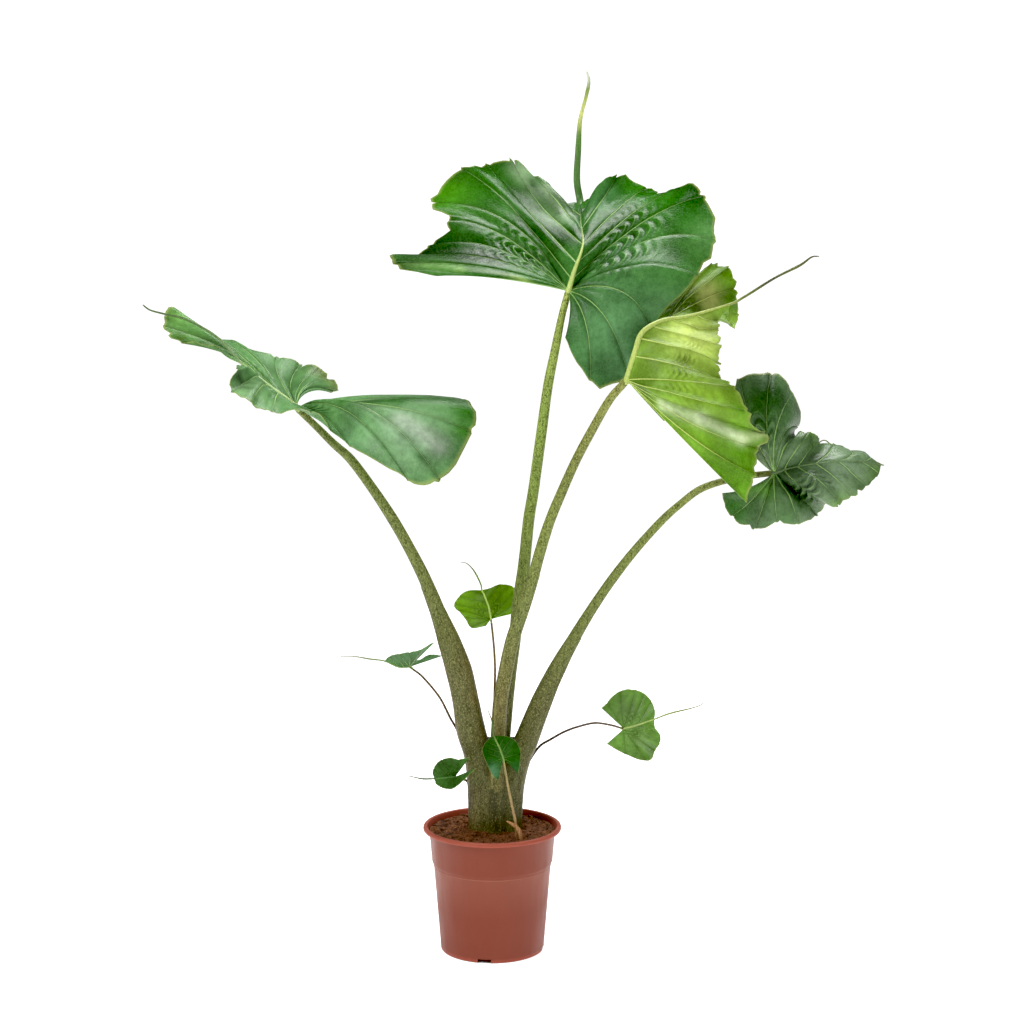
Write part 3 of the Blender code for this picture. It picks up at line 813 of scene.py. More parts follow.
@dataclass
class Blade:
    """One leaf's blade: two half sheets with sunken veins, folds and a waved margin."""

    name: str
    form: LeafForm
    relief: Relief
    base: Colour
    upper_way: Point
    patches: tuple[Patch, ...] = ()
    rib_colour: Colour = shade(172, 190, 110)
    tail_colours: tuple[Colour, ...] = (shade(120, 150, 80), shade(90, 120, 60))
    rib_radii: tuple[float, ...] = (5.0, 1.8)
    tail_radii: tuple[float, ...] = (1.8, 1.0)
    tail_breadth: float = 1.0
    rib_end: float = 0.85
    folds: tuple[Fold, ...] = ()

    LAYERS: ClassVar[tuple[str, ...]] = ("lift", "vein", "out", "cross", "fold")
    RIB_RINGS: ClassVar[int] = 120
    RIB_SIDES: ClassVar[int] = 12
    EDGE_COLUMNS: ClassVar[int] = 8

    def shares(self, midrib_share: float) -> tuple[np.ndarray, np.ndarray]:
        """Places the rows of a half blade, closer together beside each vein.

        Args:
            midrib_share: the share of the half whose ribs leave the midrib.

        Returns:
            Each row's share, from 0 at the tip to 1 at the cleft, and its place between veins.
        """
        parts, places = [], []
        spans = (
            (0.0, midrib_share, self.relief.side_gaps),
            (midrib_share, 1.0, self.relief.lobe_gaps),
        )
        for low, high, gaps in spans:
            for gap in range(gaps):
                for step in GAP_STEPS:
                    parts.append(low + (high - low) * (gap + step) / gaps)
                    places.append(step)
        return np.array(parts + [1.0]), np.array(places + [0.0])

    def surface(self, side: int, shares: np.ndarray, out: np.ndarray) -> np.ndarray:
        """Spreads one half of the blade from the midrib to a smooth margin.

        Args:
            side: 0 or 1, the half.
            shares: the rows' shares.
            out: the columns' reach out from the midrib.

        Returns:
            The places, by row and column.
        """
        midrib, ribs = self.form.midrib, self.form.halves[side]
        inward = np.maximum(0, 1 - shares / self.form.midrib_shares[side])
        inner = through(midrib, inward * (len(midrib) - 1))[:, None]
        middle, outer = (
            through([midrib[-1]] + [rib[part] for rib in ribs], shares * len(ribs))[:, None]
            for part in (0, 1)
        )
        pull = 2 * middle - 0.5 * (inner + outer)
        reach = out[..., None]
        return (1 - reach) ** 2 * inner + 2 * reach * (1 - reach) * pull + reach**2 * outer

    def notches(self, seed: int, free: np.ndarray, places: np.ndarray) -> np.ndarray:
        """Finds how far the ragged margin moves the end of each row.

        Args:
            seed: picks the notches.
            free: how far each row's end may move, from 0 to 1.
            places: the half's places.

        Returns:
            The move of each row's end.
        """
        outward = places[:, -1] - places[:, -self.EDGE_COLUMNS]
        outward /= np.maximum(np.linalg.norm(outward, axis=1), 0.001)[:, None]
        ragged = wander(seed, len(places), self.relief.waves * 3)
        ragged = self.relief.ragged * (ragged - 1.3 * smooth(0.55, 0.9, -ragged)) * free
        return ragged[:, None] * outward

    @staticmethod
    def from_veins(places: np.ndarray, veins: list[int]) -> np.ndarray:
        """Measures how far each place lies from the nearest vein.

        Args:
            places: the half's places.
            veins: the rows that are veins.

        Returns:
            The distances, by row and column.
        """
        far = np.zeros(places.shape[:2])
        for pair in zip(veins, veins[1:]):
            for row in range(pair[0], pair[1] + 1):
                gaps = (np.linalg.norm(places[row] - places[vein], axis=1) for vein in pair)
                far[row] = np.minimum(*gaps)
        return far

    def lift(
        self, side: int, shares: np.ndarray, out: np.ndarray, far: np.ndarray, free: np.ndarray
    ) -> tuple[np.ndarray, np.ndarray]:
        """Works out how far the blade swells between its veins, folds and waves.

        Args:
            side: 0 or 1, the half.
            shares: the rows' shares.
            out: the columns' reach out from the midrib.
            far: the distances from the veins.
            free: how far each row's end may move, from 0 to 1.

        Returns:
            The swelling with the folds, and the margin's waves.
        """
        relief = self.relief
        seed, count = relief.seed * 10 + side, len(shares)
        draw = np.random.default_rng(seed + 7)
        uneven = draw.uniform(0.4, 1.7, count // len(GAP_STEPS))
        uneven = np.append(np.repeat(uneven, len(GAP_STEPS)), 1.0)[:, None]
        puff = relief.puff * uneven * (1 - np.exp(-far / 3.0))
        puff = puff * smooth(0, 0.12, out) * (1 - 0.4 * out)
        for fold in self.folds:
            if fold.side == side:
                puff = puff + fold.lift(shares, out)
        ruffle = relief.ruffle * wander(seed + 3, count, relief.waves)[:, None] * out**2.4
        crimp = relief.crimp * wander(seed + 5, count, relief.waves * 4)[:, None]
        return puff, (ruffle + crimp * smooth(0.86, 1, out)) * free[:, None]

    def half(self, side: int) -> dict[str, np.ndarray]:
        """Works out one half of the blade.

        Args:
            side: 0 or 1, the half.

        Returns:
            Its places, and the value of each layer there.
        """
        relief = self.relief
        shares, spots = self.shares(self.form.midrib_shares[side])
        out = np.linspace(0, 1, relief.rows + 1)[None, :]
        places = self.surface(side, shares, out)
        size = np.linalg.norm(places[:, -1] - places[:, 0], axis=1)[:, None] / FULL_BREADTH
        size = np.minimum(1.0, size)
        free = smooth(0.0, 0.05, shares) * smooth(1.0, 0.96, shares)
        moves = self.notches(relief.seed * 10 + side, free, places)
        places += moves[:, None] * (out**8)[..., None]

        far = self.from_veins(places, [row for row, spot in enumerate(spots) if spot == 0.0])
        puff, waves = self.lift(side, shares, out, far, free)
        along_out = (out - relief.pucker_places[side]) / relief.pucker_reach
        along_ribs = (shares[:, None] - relief.pucker_ribs[side]) / relief.pucker_breadth
        zone = np.exp(-(along_out**2)) * np.exp(-(along_ribs**2))
        hump = np.sin(math.pi * spots)[:, None]
        cross = 2 * math.pi * (relief.cross_folds * out + np.abs(spots - 0.5)[:, None] * 1.9)
        pucker = relief.pucker * zone * hump * np.sin(cross)
        return {
            "places": places, "lift": (puff + pucker) * size + waves * size, "vein": far,
            "out": out + 0 * far, "cross": cross, "fold": zone * hump * size,
        }

    def tint(self, places: np.ndarray) -> np.ndarray:
        """Paints the base colour and the patches.

        Args:
            places: the places, in millimetres.

        Returns:
            The linear colour at each place.
        """
        colours = np.tile(np.array(self.base), (*places.shape[:-1], 1))
        for patch in self.patches:
            colours = patch.over(colours, places)
        return colours

    def sheet(self, upper: LeafSkin, under: LeafSkin) -> bpy.types.Object:
        """Builds the sheet and dresses its two faces.

        Args:
            upper: the skin of the upper face.
            under: the skin of the underside.

        Returns:
            The piece.
        """
        maker = bmesh.new()
        layers = {name: maker.verts.layers.float.new(name) for name in self.LAYERS}
        tint = maker.verts.layers.float_color.new("tint")
        for side in (0, 1):
            half = self.half(side)
            grid = wrapped_grid(maker, half["places"])
            paint(grid, tint, self.tint(half["places"]))
            for row, line in enumerate(grid):
                for column, vert in enumerate(line):
                    for name, layer in layers.items():
                        vert[layer] = half[name][row, column]
        bmesh.ops.remove_doubles(maker, verts=maker.verts, dist=MERGE)
        bmesh.ops.dissolve_degenerate(maker, edges=maker.edges, dist=2 * MERGE)
        bmesh.ops.recalc_face_normals(maker, faces=maker.faces)
        way = Vector(self.upper_way)
        if sum(face.normal.dot(way) * face.calc_area() for face in maker.faces) < 0:
            bmesh.ops.reverse_faces(maker, faces=maker.faces)
        maker.normal_update()
        lifts = [(vert, vert.normal * vert[layers["lift"]] * MM) for vert in maker.verts]
        for vert, move in lifts:
            vert.co += move
        piece = in_scene(f"leaf_{self.name}_sheet", maker, upper.material(), under.material())
        thick = piece.modifiers.new("thickness", "SOLIDIFY")
        thick.thickness = self.relief.thickness * MM
        thick.offset = 0
        thick.material_offset = 1
        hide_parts("blade_" + self.name)
        return piece

    def rib(self, skin: StalkSkin) -> bpy.types.Object:
        """Builds the midrib and the tail as one slim tapering piece.

        Args:
            skin: the skin that both share.

        Returns:
            The piece.
        """
        points = [self.form.neck(), *self.form.midrib, *self.form.tail]
        joint = len(self.form.midrib) / (len(points) - 1)
        curve, _ = along(points, [1.0, 1.0], self.RIB_RINGS)
        line = np.linspace(0, 1, self.RIB_RINGS)
        ribs = np.linspace(0, joint, len(self.rib_radii))
        tails = np.linspace(joint, 1, len(self.tail_radii) + 1)[1:]
        radii = np.interp(line, [*ribs, *tails], [*self.rib_radii, *self.tail_radii])
        radii *= smooth(1.02, 0.985, line)
        broad = 1 + (self.tail_breadth - 1) * smooth(joint - 0.02, joint + 0.05, line)
        deep = 1 / np.maximum(broad, 1) ** 0.7
        stops = np.linspace(joint, 1, len(self.tail_colours))
        hues = (self.rib_colour, self.rib_colour, *self.tail_colours)
        painted = gradient(self.RIB_RINGS, hues, [0, joint * self.rib_end, *stops])
        maker = tube(curve, radii, self.RIB_SIDES, painted, broad, deep)
        return in_scene(f"leaf_{self.name}_rib", maker, skin.material())


def tube(
    curve: np.ndarray, radii: np.ndarray, sides: int, painted: np.ndarray,
    broad: np.ndarray | float = 1.0, deep: np.ndarray | float = 1.0,
) -> bmesh.types.BMesh:
    """Wraps a grid round a curve as a closed tube.

    Args:
        curve: the curve's points, in millimetres.
        radii: the radius at each point, or rows of radii by side.
        sides: how many sides it has.
        painted: a colour for each point, or rows of colours by side.
        broad: how much broader than its radius it is across.
        deep: how much deeper it is.

    Returns:
        The closed bmesh, in metres, with its tint attribute.
    """
    turns = full_turn(sides)
    radii = np.broadcast_to(radii[:, None] if radii.ndim == 1 else radii, (len(curve), sides + 1))
    wide = np.broadcast_to(broad, len(curve))[:, None] * radii * np.cos(turns)
    back = np.broadcast_to(deep, len(curve))[:, None] * radii * np.sin(turns)
    places = around(curve, wide, back)
    colours = painted[:, None] if painted.ndim == 2 else painted
    maker = bmesh.new()
    tint = maker.verts.layers.float_color.new("tint")
    colours = np.broadcast_to(colours, (*places.shape[:2], 3))
    paint(wrapped_grid(maker, places), tint, colours)
    close_ends(maker)
    return maker


@dataclass(frozen=True)
class SheathLine:
    """The raised margin of a leaf sheath, running down a stalk from high to low."""

    high: float
    low: float
    turn_high: float
    turn_low: float
    rise: float = 0.9
    breadth: float = 0.10
    colour: Colour = shade(150, 150, 95)
    share: float = 0.6


@dataclass
class Stalk:
    """A large leaf's stalk, from inside the peat to the blade."""

    name: str
    form: LeafForm
    colours: tuple[Colour, ...]
    lines: tuple[SheathLine, ...] = ()
    patches: tuple[Patch, ...] = ()
    seed: int = 0
    sides: int = 48
    rings: int = 220
    depth_share: float = 0.92

    def build(self, skin: StalkSkin) -> bpy.types.Object:
        """Builds the stalk with its sheath margins and dresses it.

        Args:
            skin: the stalk's skin.

        Returns:
            The piece.
        """
        form = self.form
        curve, radii = form.run(self.rings)
        joint = np.array(form.midrib[0]) * 0.5 + np.array(form.neck()) * 0.5
        curve = np.vstack([curve[:-1], joint])
        turns = full_turn(self.sides)
        height = curve[:, 2][:, None]
        uneven = 1 + 0.012 * wander(self.seed + 1, self.rings, 9)[:, None]
        ridged = 1 + 0.012 * np.sin(3 * turns + 0.004 * height) + 0.006 * np.sin(7 * turns)
        full = radii[:, None] * uneven * ridged
        painted = np.repeat(gradient(self.rings, self.colours)[:, None], self.sides + 1, axis=1)
        for sheath in self.lines:
            part = (height - sheath.low) / (sheath.high - sheath.low)
            centre = sheath.turn_low + (sheath.turn_high - sheath.turn_low) * part
            apart = np.angle(np.exp(1j * (turns[None, :] - centre)))
            near = np.exp(-((apart / sheath.breadth) ** 2))
            near = near * smooth(-0.02, 0.02, part) * smooth(1.0, 0.985, part)
            full = full + sheath.rise * near
            level = (sheath.share * near)[..., None]
            painted = painted * (1 - level) + np.array(sheath.colour) * level
        places = around(curve, radii[:, None] * np.cos(turns), radii[:, None] * np.sin(turns))
        for patch in self.patches:
            painted = patch.over(painted, places)
        maker = tube(curve, full, self.sides, painted, 1.0, self.depth_share)
        piece = in_scene(f"stalk_{self.name}_skin", maker, skin.material())
        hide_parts("stalk_" + self.name)
        return piece


@dataclass
class SheathClump:
    """The leaf bases where they clasp each other, which fills the grooves between the stalks."""

    stalks: tuple[Stalk, ...]
    low: float = 168.0
    high: float = 326.0
    rings: int = 70
    sides: int = 120
    proud: float = 0.5
    sunk: float = 12.0
    bend: float = 235.0
    samples: int = 300
    colours: tuple[Colour, Colour] = (shade(82, 80, 50), shade(92, 92, 56))
    # the painted shade laid into the clump's grooves, crotch and foot
    deep: Colour = shade(44, 40, 24)

    def outline(self, height: float, turns: np.ndarray) -> tuple[np.ndarray, np.ndarray]:
        """Finds the outline round all the stalks at one height.

        Args:
            height: the height.
            turns: the directions to look in.

        Returns:
            The middle of the stalks, and the outline's distance from it in each direction.
        """
        centres, sizes = [], []
        for stalk in self.stalks:
            curve, radii = stalk.form.run(self.samples)
            row = int(np.argmin(np.abs(curve[:, 2] - height)))
            centres.append(curve[row, :2])
            sizes.append(radii[row])
        centres, sizes = np.array(centres), np.array(sizes)
        middle = np.average(centres, axis=0, weights=sizes)
        ways = np.stack([np.cos(turns), np.sin(turns)], axis=1)
        reach = np.full(len(turns), 3.0)
        for centre, size in zip(centres - middle, sizes):
            ahead = ways @ centre
            inside = size**2 - (centre @ centre - ahead**2)
            hit = inside > 0
            reach[hit] = np.maximum(reach[hit], ahead[hit] + np.sqrt(inside[hit]))
        kernel = np.exp(-(np.linspace(-1.8, 1.8, 15) ** 2))
        wrapped = np.concatenate([reach[-7:], reach, reach[:7]])
        soft = np.convolve(wrapped, kernel / kernel.sum(), mode="valid")
        return middle, np.maximum(soft, reach * 0.99)

    def build(self, skin: StalkSkin) -> bpy.types.Object:
        """Builds the clasping bases and dresses them.

        Args:
            skin: the skin of the stalks.

        Returns:
            The piece.
        """
        turns = np.linspace(0, 2 * math.pi, self.sides, endpoint=False)
        places = np.zeros((self.rings, self.sides + 1, 3))
        for row, height in enumerate(np.linspace(self.low, self.high, self.rings)):
            middle, reach = self.outline(height, turns)
            part = smooth(self.bend, self.high, height)
            reach = np.maximum(reach + self.proud - (self.proud + self.sunk) * part, 1.0)
            folds = 0.5 * np.sin(turns * 11 + height * 0.012) + 0.35 * np.sin(turns * 23)
            ways = np.stack([np.cos(turns), np.sin(turns)], axis=1)
            places[row, :-1, :2] = middle + (reach + folds * (1 - part))[:, None] * ways
            places[row, :-1, 2] = height
        places[:, -1] = places[:, 0]
        maker = bmesh.new()
        tint = maker.verts.layers.float_color.new("tint")
        # The deep patches are painted shade: down the two grooves between the stalks, in the crotch
        # at the top and along the front at the peat.
        patches = (
            Patch((4, -30, 196), 7, self.deep, 0.8, (-4, -26, 330)),
            Patch((22, -30, 186), 6, self.deep, 0.75, (26, -26, 330)),
            Patch((0, -10, 327), 20, self.deep, 0.9, (34, -6, 327)),
            Patch((0, -40, 184), 10, self.deep, 0.6, (40, -40, 184)),
            Patch((-30, -20, 182), 14, shade(126, 112, 74), 0.5, (-30, -20, 250)),
        )
        base, upper = np.array(self.colours)
        colours = base + (places[..., 2:] - self.low) / 160 * (upper - base)
        for patch in patches:
            colours = patch.over(colours, places)
        paint(wrapped_grid(maker, places), tint, colours)
        close_ends(maker)
        piece = in_scene("sheath_clump", maker, skin.material())
        return piece


@dataclass
class SmallStalk:
    """A small leaf's thin wiry stalk."""

    name: str
    form: LeafForm
    colours: tuple[Colour, ...]
    radii: tuple[float, ...] = (2.1, 1.8, 1.5)
    rings: int = 70
    sides: int = 14

    def build(self, skin: StalkSkin) -> bpy.types.Object:
        """Builds the stalk and dresses it.

        Args:
            skin: the stalk's skin.

        Returns:
            The piece.
        """
        points = [*self.form.stalk, self.form.neck(), self.form.midrib[0]]
        curve, radii = along(points, self.radii, self.rings)
        maker = tube(curve, radii, self.sides, gradient(self.rings, self.colours))
        piece = in_scene(f"stalk_{self.name}_skin", maker, skin.material())
        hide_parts("stalk_" + self.name)
        return piece


@dataclass
class Pot:
    """The moulded nursery pot, with its rolled lip, collar, foot ring and drain openings."""

    height: float = 192.0
    rim: float = 105.0
    foot: float = 78.5
    taper: float = 0.081
    wall: float = 1.6
    floor: float = 4.0
    collar_low: float = 132.0
    collar_high: float = 138.5
    collar_step: float = 2.2
    lip_inner: float = 98.2
    bead: float = 130.6
    sides: int = 144
    slots: int = 4
    slot_depth: float = 16.0
    slot_width: float = 20.0
    slot_height: float = 6.0
    slot_turn: float = -98.4
    holes: int = 8
    hole_radius: float = 4.0
    hole_ring: float = 63.0
    lip_wear: float = 0.22
    # How dark the slots and the pot's inside are painted: dirt and painted shade.
    slot_dirt_and_shade: float = 1.6
    inner_dirt_and_shade: float = 0.8

    def outside(self, height: float) -> float:
        """The wall's outer radius below the collar."""
        return self.foot + self.taper * height

    def profile(self) -> list[tuple[float, float]]:
        """The pot's section, from the middle of its underside round to the middle of its floor.

        Returns:
            Radius and height of each point.
        """
        step = self.collar_step
        lip = [
            (self.outside(184) + step, 184.2), (self.outside(185) + step + 0.6, 185.0),
            (self.rim - 0.9, 185.6), (self.rim - 0.25, 186.4), (self.rim, 187.6),
            (self.rim - 0.1, 189.2), (self.rim - 0.7, 190.7), (self.rim - 1.8, 191.7),
            (self.rim - 3.2, self.height), (self.lip_inner + 1.6, self.height - 0.1),
            (self.lip_inner + 0.5, self.height - 0.7), (self.lip_inner, self.height - 2.0),
        ]
        return [
            (0, 0), (58, 0), (58.6, 1.8), (59.6, 2.4), (66.4, 2.4), (67.4, 1.8), (68, 0),
            (self.foot - 1.2, 0), (self.foot - 0.3, 0.4), (self.outside(1.6), 1.6),
            (self.outside(7), 7), (self.outside(8), 8), (self.outside(70), 70),
            (self.outside(self.bead - 1.0), self.bead - 1.0),
            (self.outside(self.bead) + 0.5, self.bead - 0.3),
            (self.outside(self.bead) + 0.5, self.bead + 0.3),
            (self.outside(self.collar_low) + 0.2, self.bead + 1.0),
            (self.outside(self.collar_low) + 0.4, self.collar_low),
            (self.outside(self.collar_high) + step - 0.5, self.collar_high - 1.4),
            (self.outside(self.collar_high) + step, self.collar_high),
            *lip,
            (self.outside(182) + step - self.wall, 181),
            (self.outside(self.collar_high) + step - self.wall, self.collar_high),
            (self.outside(self.collar_low) - self.wall, self.collar_low),
            (self.outside(9) - self.wall, 9), (self.outside(8) - self.wall, 8),
            (self.outside(self.floor) - self.wall - 2, self.floor),
            (0, self.floor),
        ]

    def openings(self) -> bmesh.types.BMesh:
        """Builds the cutter for the drain slots and holes.

        Returns:
            The cutter, in metres.
        """
        maker = bmesh.new()
        for index in range(self.slots):
            turn = math.radians(self.slot_turn + 360 * index / self.slots)
            made = bmesh.ops.create_cube(maker, size=1)["verts"]
            size = Vector((self.slot_depth, self.slot_width, 2 * self.slot_height)) * MM
            bmesh.ops.scale(maker, verts=made, vec=size)
            middle = Vector((self.foot * math.cos(turn), self.foot * math.sin(turn), 0)) * MM
            for vert in made:
                along_x = vert.co.x * math.cos(turn) - vert.co.y * math.sin(turn)
                along_y = vert.co.x * math.sin(turn) + vert.co.y * math.cos(turn)
                vert.co = Vector((along_x, along_y, vert.co.z)) + middle
        for index in range(self.holes):
            turn = 2 * math.pi * (index + 0.5) / self.holes
            radius = self.hole_radius * MM
            made = bmesh.ops.create_cone(
                maker, cap_ends=True, segments=24, radius1=radius, radius2=radius, depth=0.016,
            )["verts"]
            place = (self.hole_ring * MM * math.cos(turn), self.hole_ring * MM * math.sin(turn), 0)
            bmesh.ops.translate(maker, verts=made, vec=place)
        return maker

    def build(self, plastic: PotPlastic) -> bpy.types.Object:
        """Turns the pot, cuts its openings and dresses it.

        Args:
            plastic: the pot's plastic.

        Returns:
            The piece.
        """
        piece = in_scene("pot_shell", turned(self.profile(), self.sides))
        cutter = in_scene("pot_openings", self.openings())
        modifier = piece.modifiers.new("openings", "BOOLEAN")
        modifier.operation = "DIFFERENCE"
        modifier.solver = "EXACT"
        modifier.object = cutter
        graph = bpy.context.evaluated_depsgraph_get()
        cut = bpy.data.meshes.new_from_object(piece.evaluated_get(graph))
        piece.modifiers.clear()
        piece.data = cut
        bpy.data.objects.remove(cutter, do_unlink=True)
        cut.shade_smooth()
        cut.set_sharp_from_angle(angle=math.radians(38))
        cut.materials.clear()
        cut.materials.append(plastic.material())
        worn = cut.attributes.new("worn", "FLOAT", "POINT")
        grime = cut.attributes.new("grime", "FLOAT", "POINT")
        for index, vert in enumerate(cut.vertices):
            height = vert.co.z / MM
            radius = math.hypot(vert.co.x, vert.co.y) / MM
            on_bead = math.exp(-(((height - self.bead) / 0.9) ** 2))
            on_bead *= radius > self.outside(height)
            on_lip = self.lip_wear * smooth(self.height - 3, self.height, height)
            worn.data[index].value = max(on_bead, on_lip)
            # The slots and the inner wall are painted darker: dirt and painted shade in these
            # recesses.
            inside = radius < self.lip_inner + 0.5 and self.floor + 1 < height < self.height - 5
            in_slot = height < self.slot_height + 1 and radius < self.foot - 0.8
            grime.data[index].value = (
                self.slot_dirt_and_shade if in_slot else self.inner_dirt_and_shade if inside else 0.0
            )
        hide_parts("pot")
        return piece


@dataclass
class Peat:
    """The peat that fills the pot: a crumbled surface with crumbs and fibres lying on it."""

    top: float = 185.0
    radius: float = 95.0
    foot_radius: float = 75.5
    low: float = 5.0
    rings: int = 60
    sides: int = 150
    crumbs: int = 1500
    fibres: int = 260
    seed: int = 7

    def height(self, across: float, away: float) -> float:
        """The surface's height at a place.

        Args:
            across: the place along X.
            away: the place along Y.

        Returns:
            The height, in millimetres.
        """
        spot = Vector((across, away, 3.0))
        rough = noise.fractal(spot * 0.035, 1.0, 2.0, 4) * 2.2
        crumbly = noise.fractal(spot * 0.16, 0.9, 2.0, 3) * 1.5
        far = math.hypot(across, away)
        return self.top + rough + crumbly - 0.6 * smooth(60, 93, far) + 1.5 * smooth(50, 20, far)

    def spot(self, draw: np.random.Generator, share: float) -> np.ndarray:
        """Draws an even random place within a share of the surface's radius."""
        turn, far = draw.uniform(0, 2 * math.pi), self.radius * share * math.sqrt(draw.uniform())
        return np.array([far * math.cos(turn), far * math.sin(turn)])

    def bed(self, peat: PeatCrumb) -> bpy.types.Object:
        """Builds the bed of peat.

        Args:
            peat: the peat's finish.

        Returns:
            The piece.
        """
        foot, edge = self.foot_radius, self.radius
        profile = [
            (0, self.low), (foot - 3, self.low), (foot, self.low + 3), (foot + 8.5, 128),
            (edge - 5.4, 142), (edge - 3.6, 165), (edge - 2.2, 180),
            *((radius, self.top) for radius in np.linspace(0, edge, self.rings)[::-1]),
        ]
        maker = turned(profile, self.sides)
        for vert in maker.verts:
            if vert.co.z > (self.top - 1) * MM:
                vert.co.z = self.height(vert.co.x / MM, vert.co.y / MM) * MM
        piece = in_scene("peat_bed", maker, peat.material())
        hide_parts("soil")
        return piece

    def scatter(self, peat: PeatCrumb) -> bpy.types.Object:
        """Builds the loose crumbs on the surface.

        Args:
            peat: the crumbs' finish.

        Returns:
            The piece.
        """
        draw = np.random.default_rng(self.seed)
        maker = bmesh.new()
        for _ in range(self.crumbs):
            across, away = self.spot(draw, 0.985)
            size = draw.uniform(0.5, 1.6) if draw.uniform() < 0.93 else draw.uniform(1.6, 3.0)
            made = bmesh.ops.create_icosphere(maker, subdivisions=1, radius=size * MM)["verts"]
            squeeze = (draw.uniform(0.7, 1.4), draw.uniform(0.7, 1.4), draw.uniform(0.5, 0.9))
            bmesh.ops.scale(maker, verts=made, vec=squeeze)
            for vert in made:
                vert.co *= draw.uniform(0.75, 1.2)
            level = self.height(across, away) + 0.25 * size
            bmesh.ops.translate(maker, verts=made, vec=(across * MM, away * MM, level * MM))
        bmesh.ops.recalc_face_normals(maker, faces=maker.faces)
        piece = in_scene("peat_crumbs", maker, peat.material())
        return piece

    def threads(self, bits: DryBits) -> bpy.types.Object:
        """Builds the coir and root fibres that lie on the surface.

        Args:
            bits: the fibres' finish.

        Returns:
            The piece.
        """
        draw = np.random.default_rng(self.seed + 1)
        maker = bmesh.new()
        for _ in range(self.fibres):
            start = self.spot(draw, 0.93)
            way, length = draw.uniform(0, 2 * math.pi), draw.uniform(4, 14)
            bend = draw.uniform(-0.9, 0.9)
            points = []
            for step in range(7):
                heading = way + bend * step / 6
                spot = start + length * step / 6 * np.array([math.cos(heading), math.sin(heading)])
                if np.linalg.norm(spot) > self.radius - 2:
                    spot *= (self.radius - 2) / np.linalg.norm(spot)
                rise = 0.5 + 1.2 * math.sin(math.pi * step / 6) * draw.uniform(0.2, 1.0)
                points.append([*spot, self.height(*spot) + rise])
            strand(maker, np.array(points), draw.uniform(0.18, 0.42))
        close_ends(maker)
        piece = in_scene("peat_fibres", maker, bits.material())
        return piece


def strand(maker: bmesh.types.BMesh, points: np.ndarray, radius: float, sides: int = 4) -> None:
    """Adds a thin strand that tapers at its ends.

    Args:
        maker: the bmesh that takes it.
        points: its points, in millimetres.
        radius: its radius at the middle.
        sides: how many sides it has.
    """
    turns = full_turn(sides)
    taper = radius * (0.35 + 0.65 * np.sin(np.linspace(0, math.pi, len(points))))[:, None]
    wrapped_grid(maker, around(points, taper * np.cos(turns), taper * np.sin(turns)))


@dataclass
class Litter:
    """The dry bract and rootlets at the foot of the plant."""

    spine: tuple[Point, ...] = (
        (22, -53, 212), (29, -56, 209), (37, -56, 203),
        (42, -56, 194), (43, -55, 182), (41, -54, 172),
    )
    rings: int = 26
    roots: int = 9
    seed: int = 21

    def bract(self, bits: DryBits) -> bpy.types.Object:
        """Builds the papery bract round the foot of the front small stalk.

        Args:
            bits: the bract's finish.

        Returns:
            The piece.
        """
        maker = bmesh.new()
        curve = through(self.spine, np.linspace(0, len(self.spine) - 1, self.rings))
        width = (3.2 * np.sin(np.linspace(0.12, math.pi * 0.93, self.rings)) + 0.3)[:, None]
        turns = np.linspace(-1.15, 1.15, 9)
        deep = width * (np.cos(turns) - 0.4) * -0.8
        wrapped_grid(maker, around(curve, width * np.sin(turns), deep))
        bmesh.ops.recalc_face_normals(maker, faces=maker.faces)
        piece = in_scene("dry_bract", maker, bits.material())
        thick = piece.modifiers.new("thickness", "SOLIDIFY")
        thick.thickness = 0.35 * MM
        return piece

    def rootlets(self, bits: DryBits) -> bpy.types.Object:
        """Builds the rootlets that stick up from the peat behind the stalks.

        Args:
            bits: the rootlets' finish.

        Returns:
            The piece.
        """
        draw = np.random.default_rng(self.seed)
        maker = bmesh.new()
        for index in range(self.roots):
            foot = np.array([54 + 3.4 * index, 62 - 0.5 * index, 184.0])
            way = np.array([draw.uniform(-1, 1), draw.uniform(-0.4, 0.4), draw.uniform(0.5, 1.2)])
            bend = np.array([draw.uniform(-1, 1), 0, -0.8])
            steps = np.linspace(0, 1, 7)[:, None]
            points = foot + draw.uniform(7, 14) * (way * steps + 0.6 * bend * steps**2)
            strand(maker, points, draw.uniform(0.35, 0.8), 5)
        close_ends(maker)
        piece = in_scene("rootlets", maker, bits.material())
        return piece


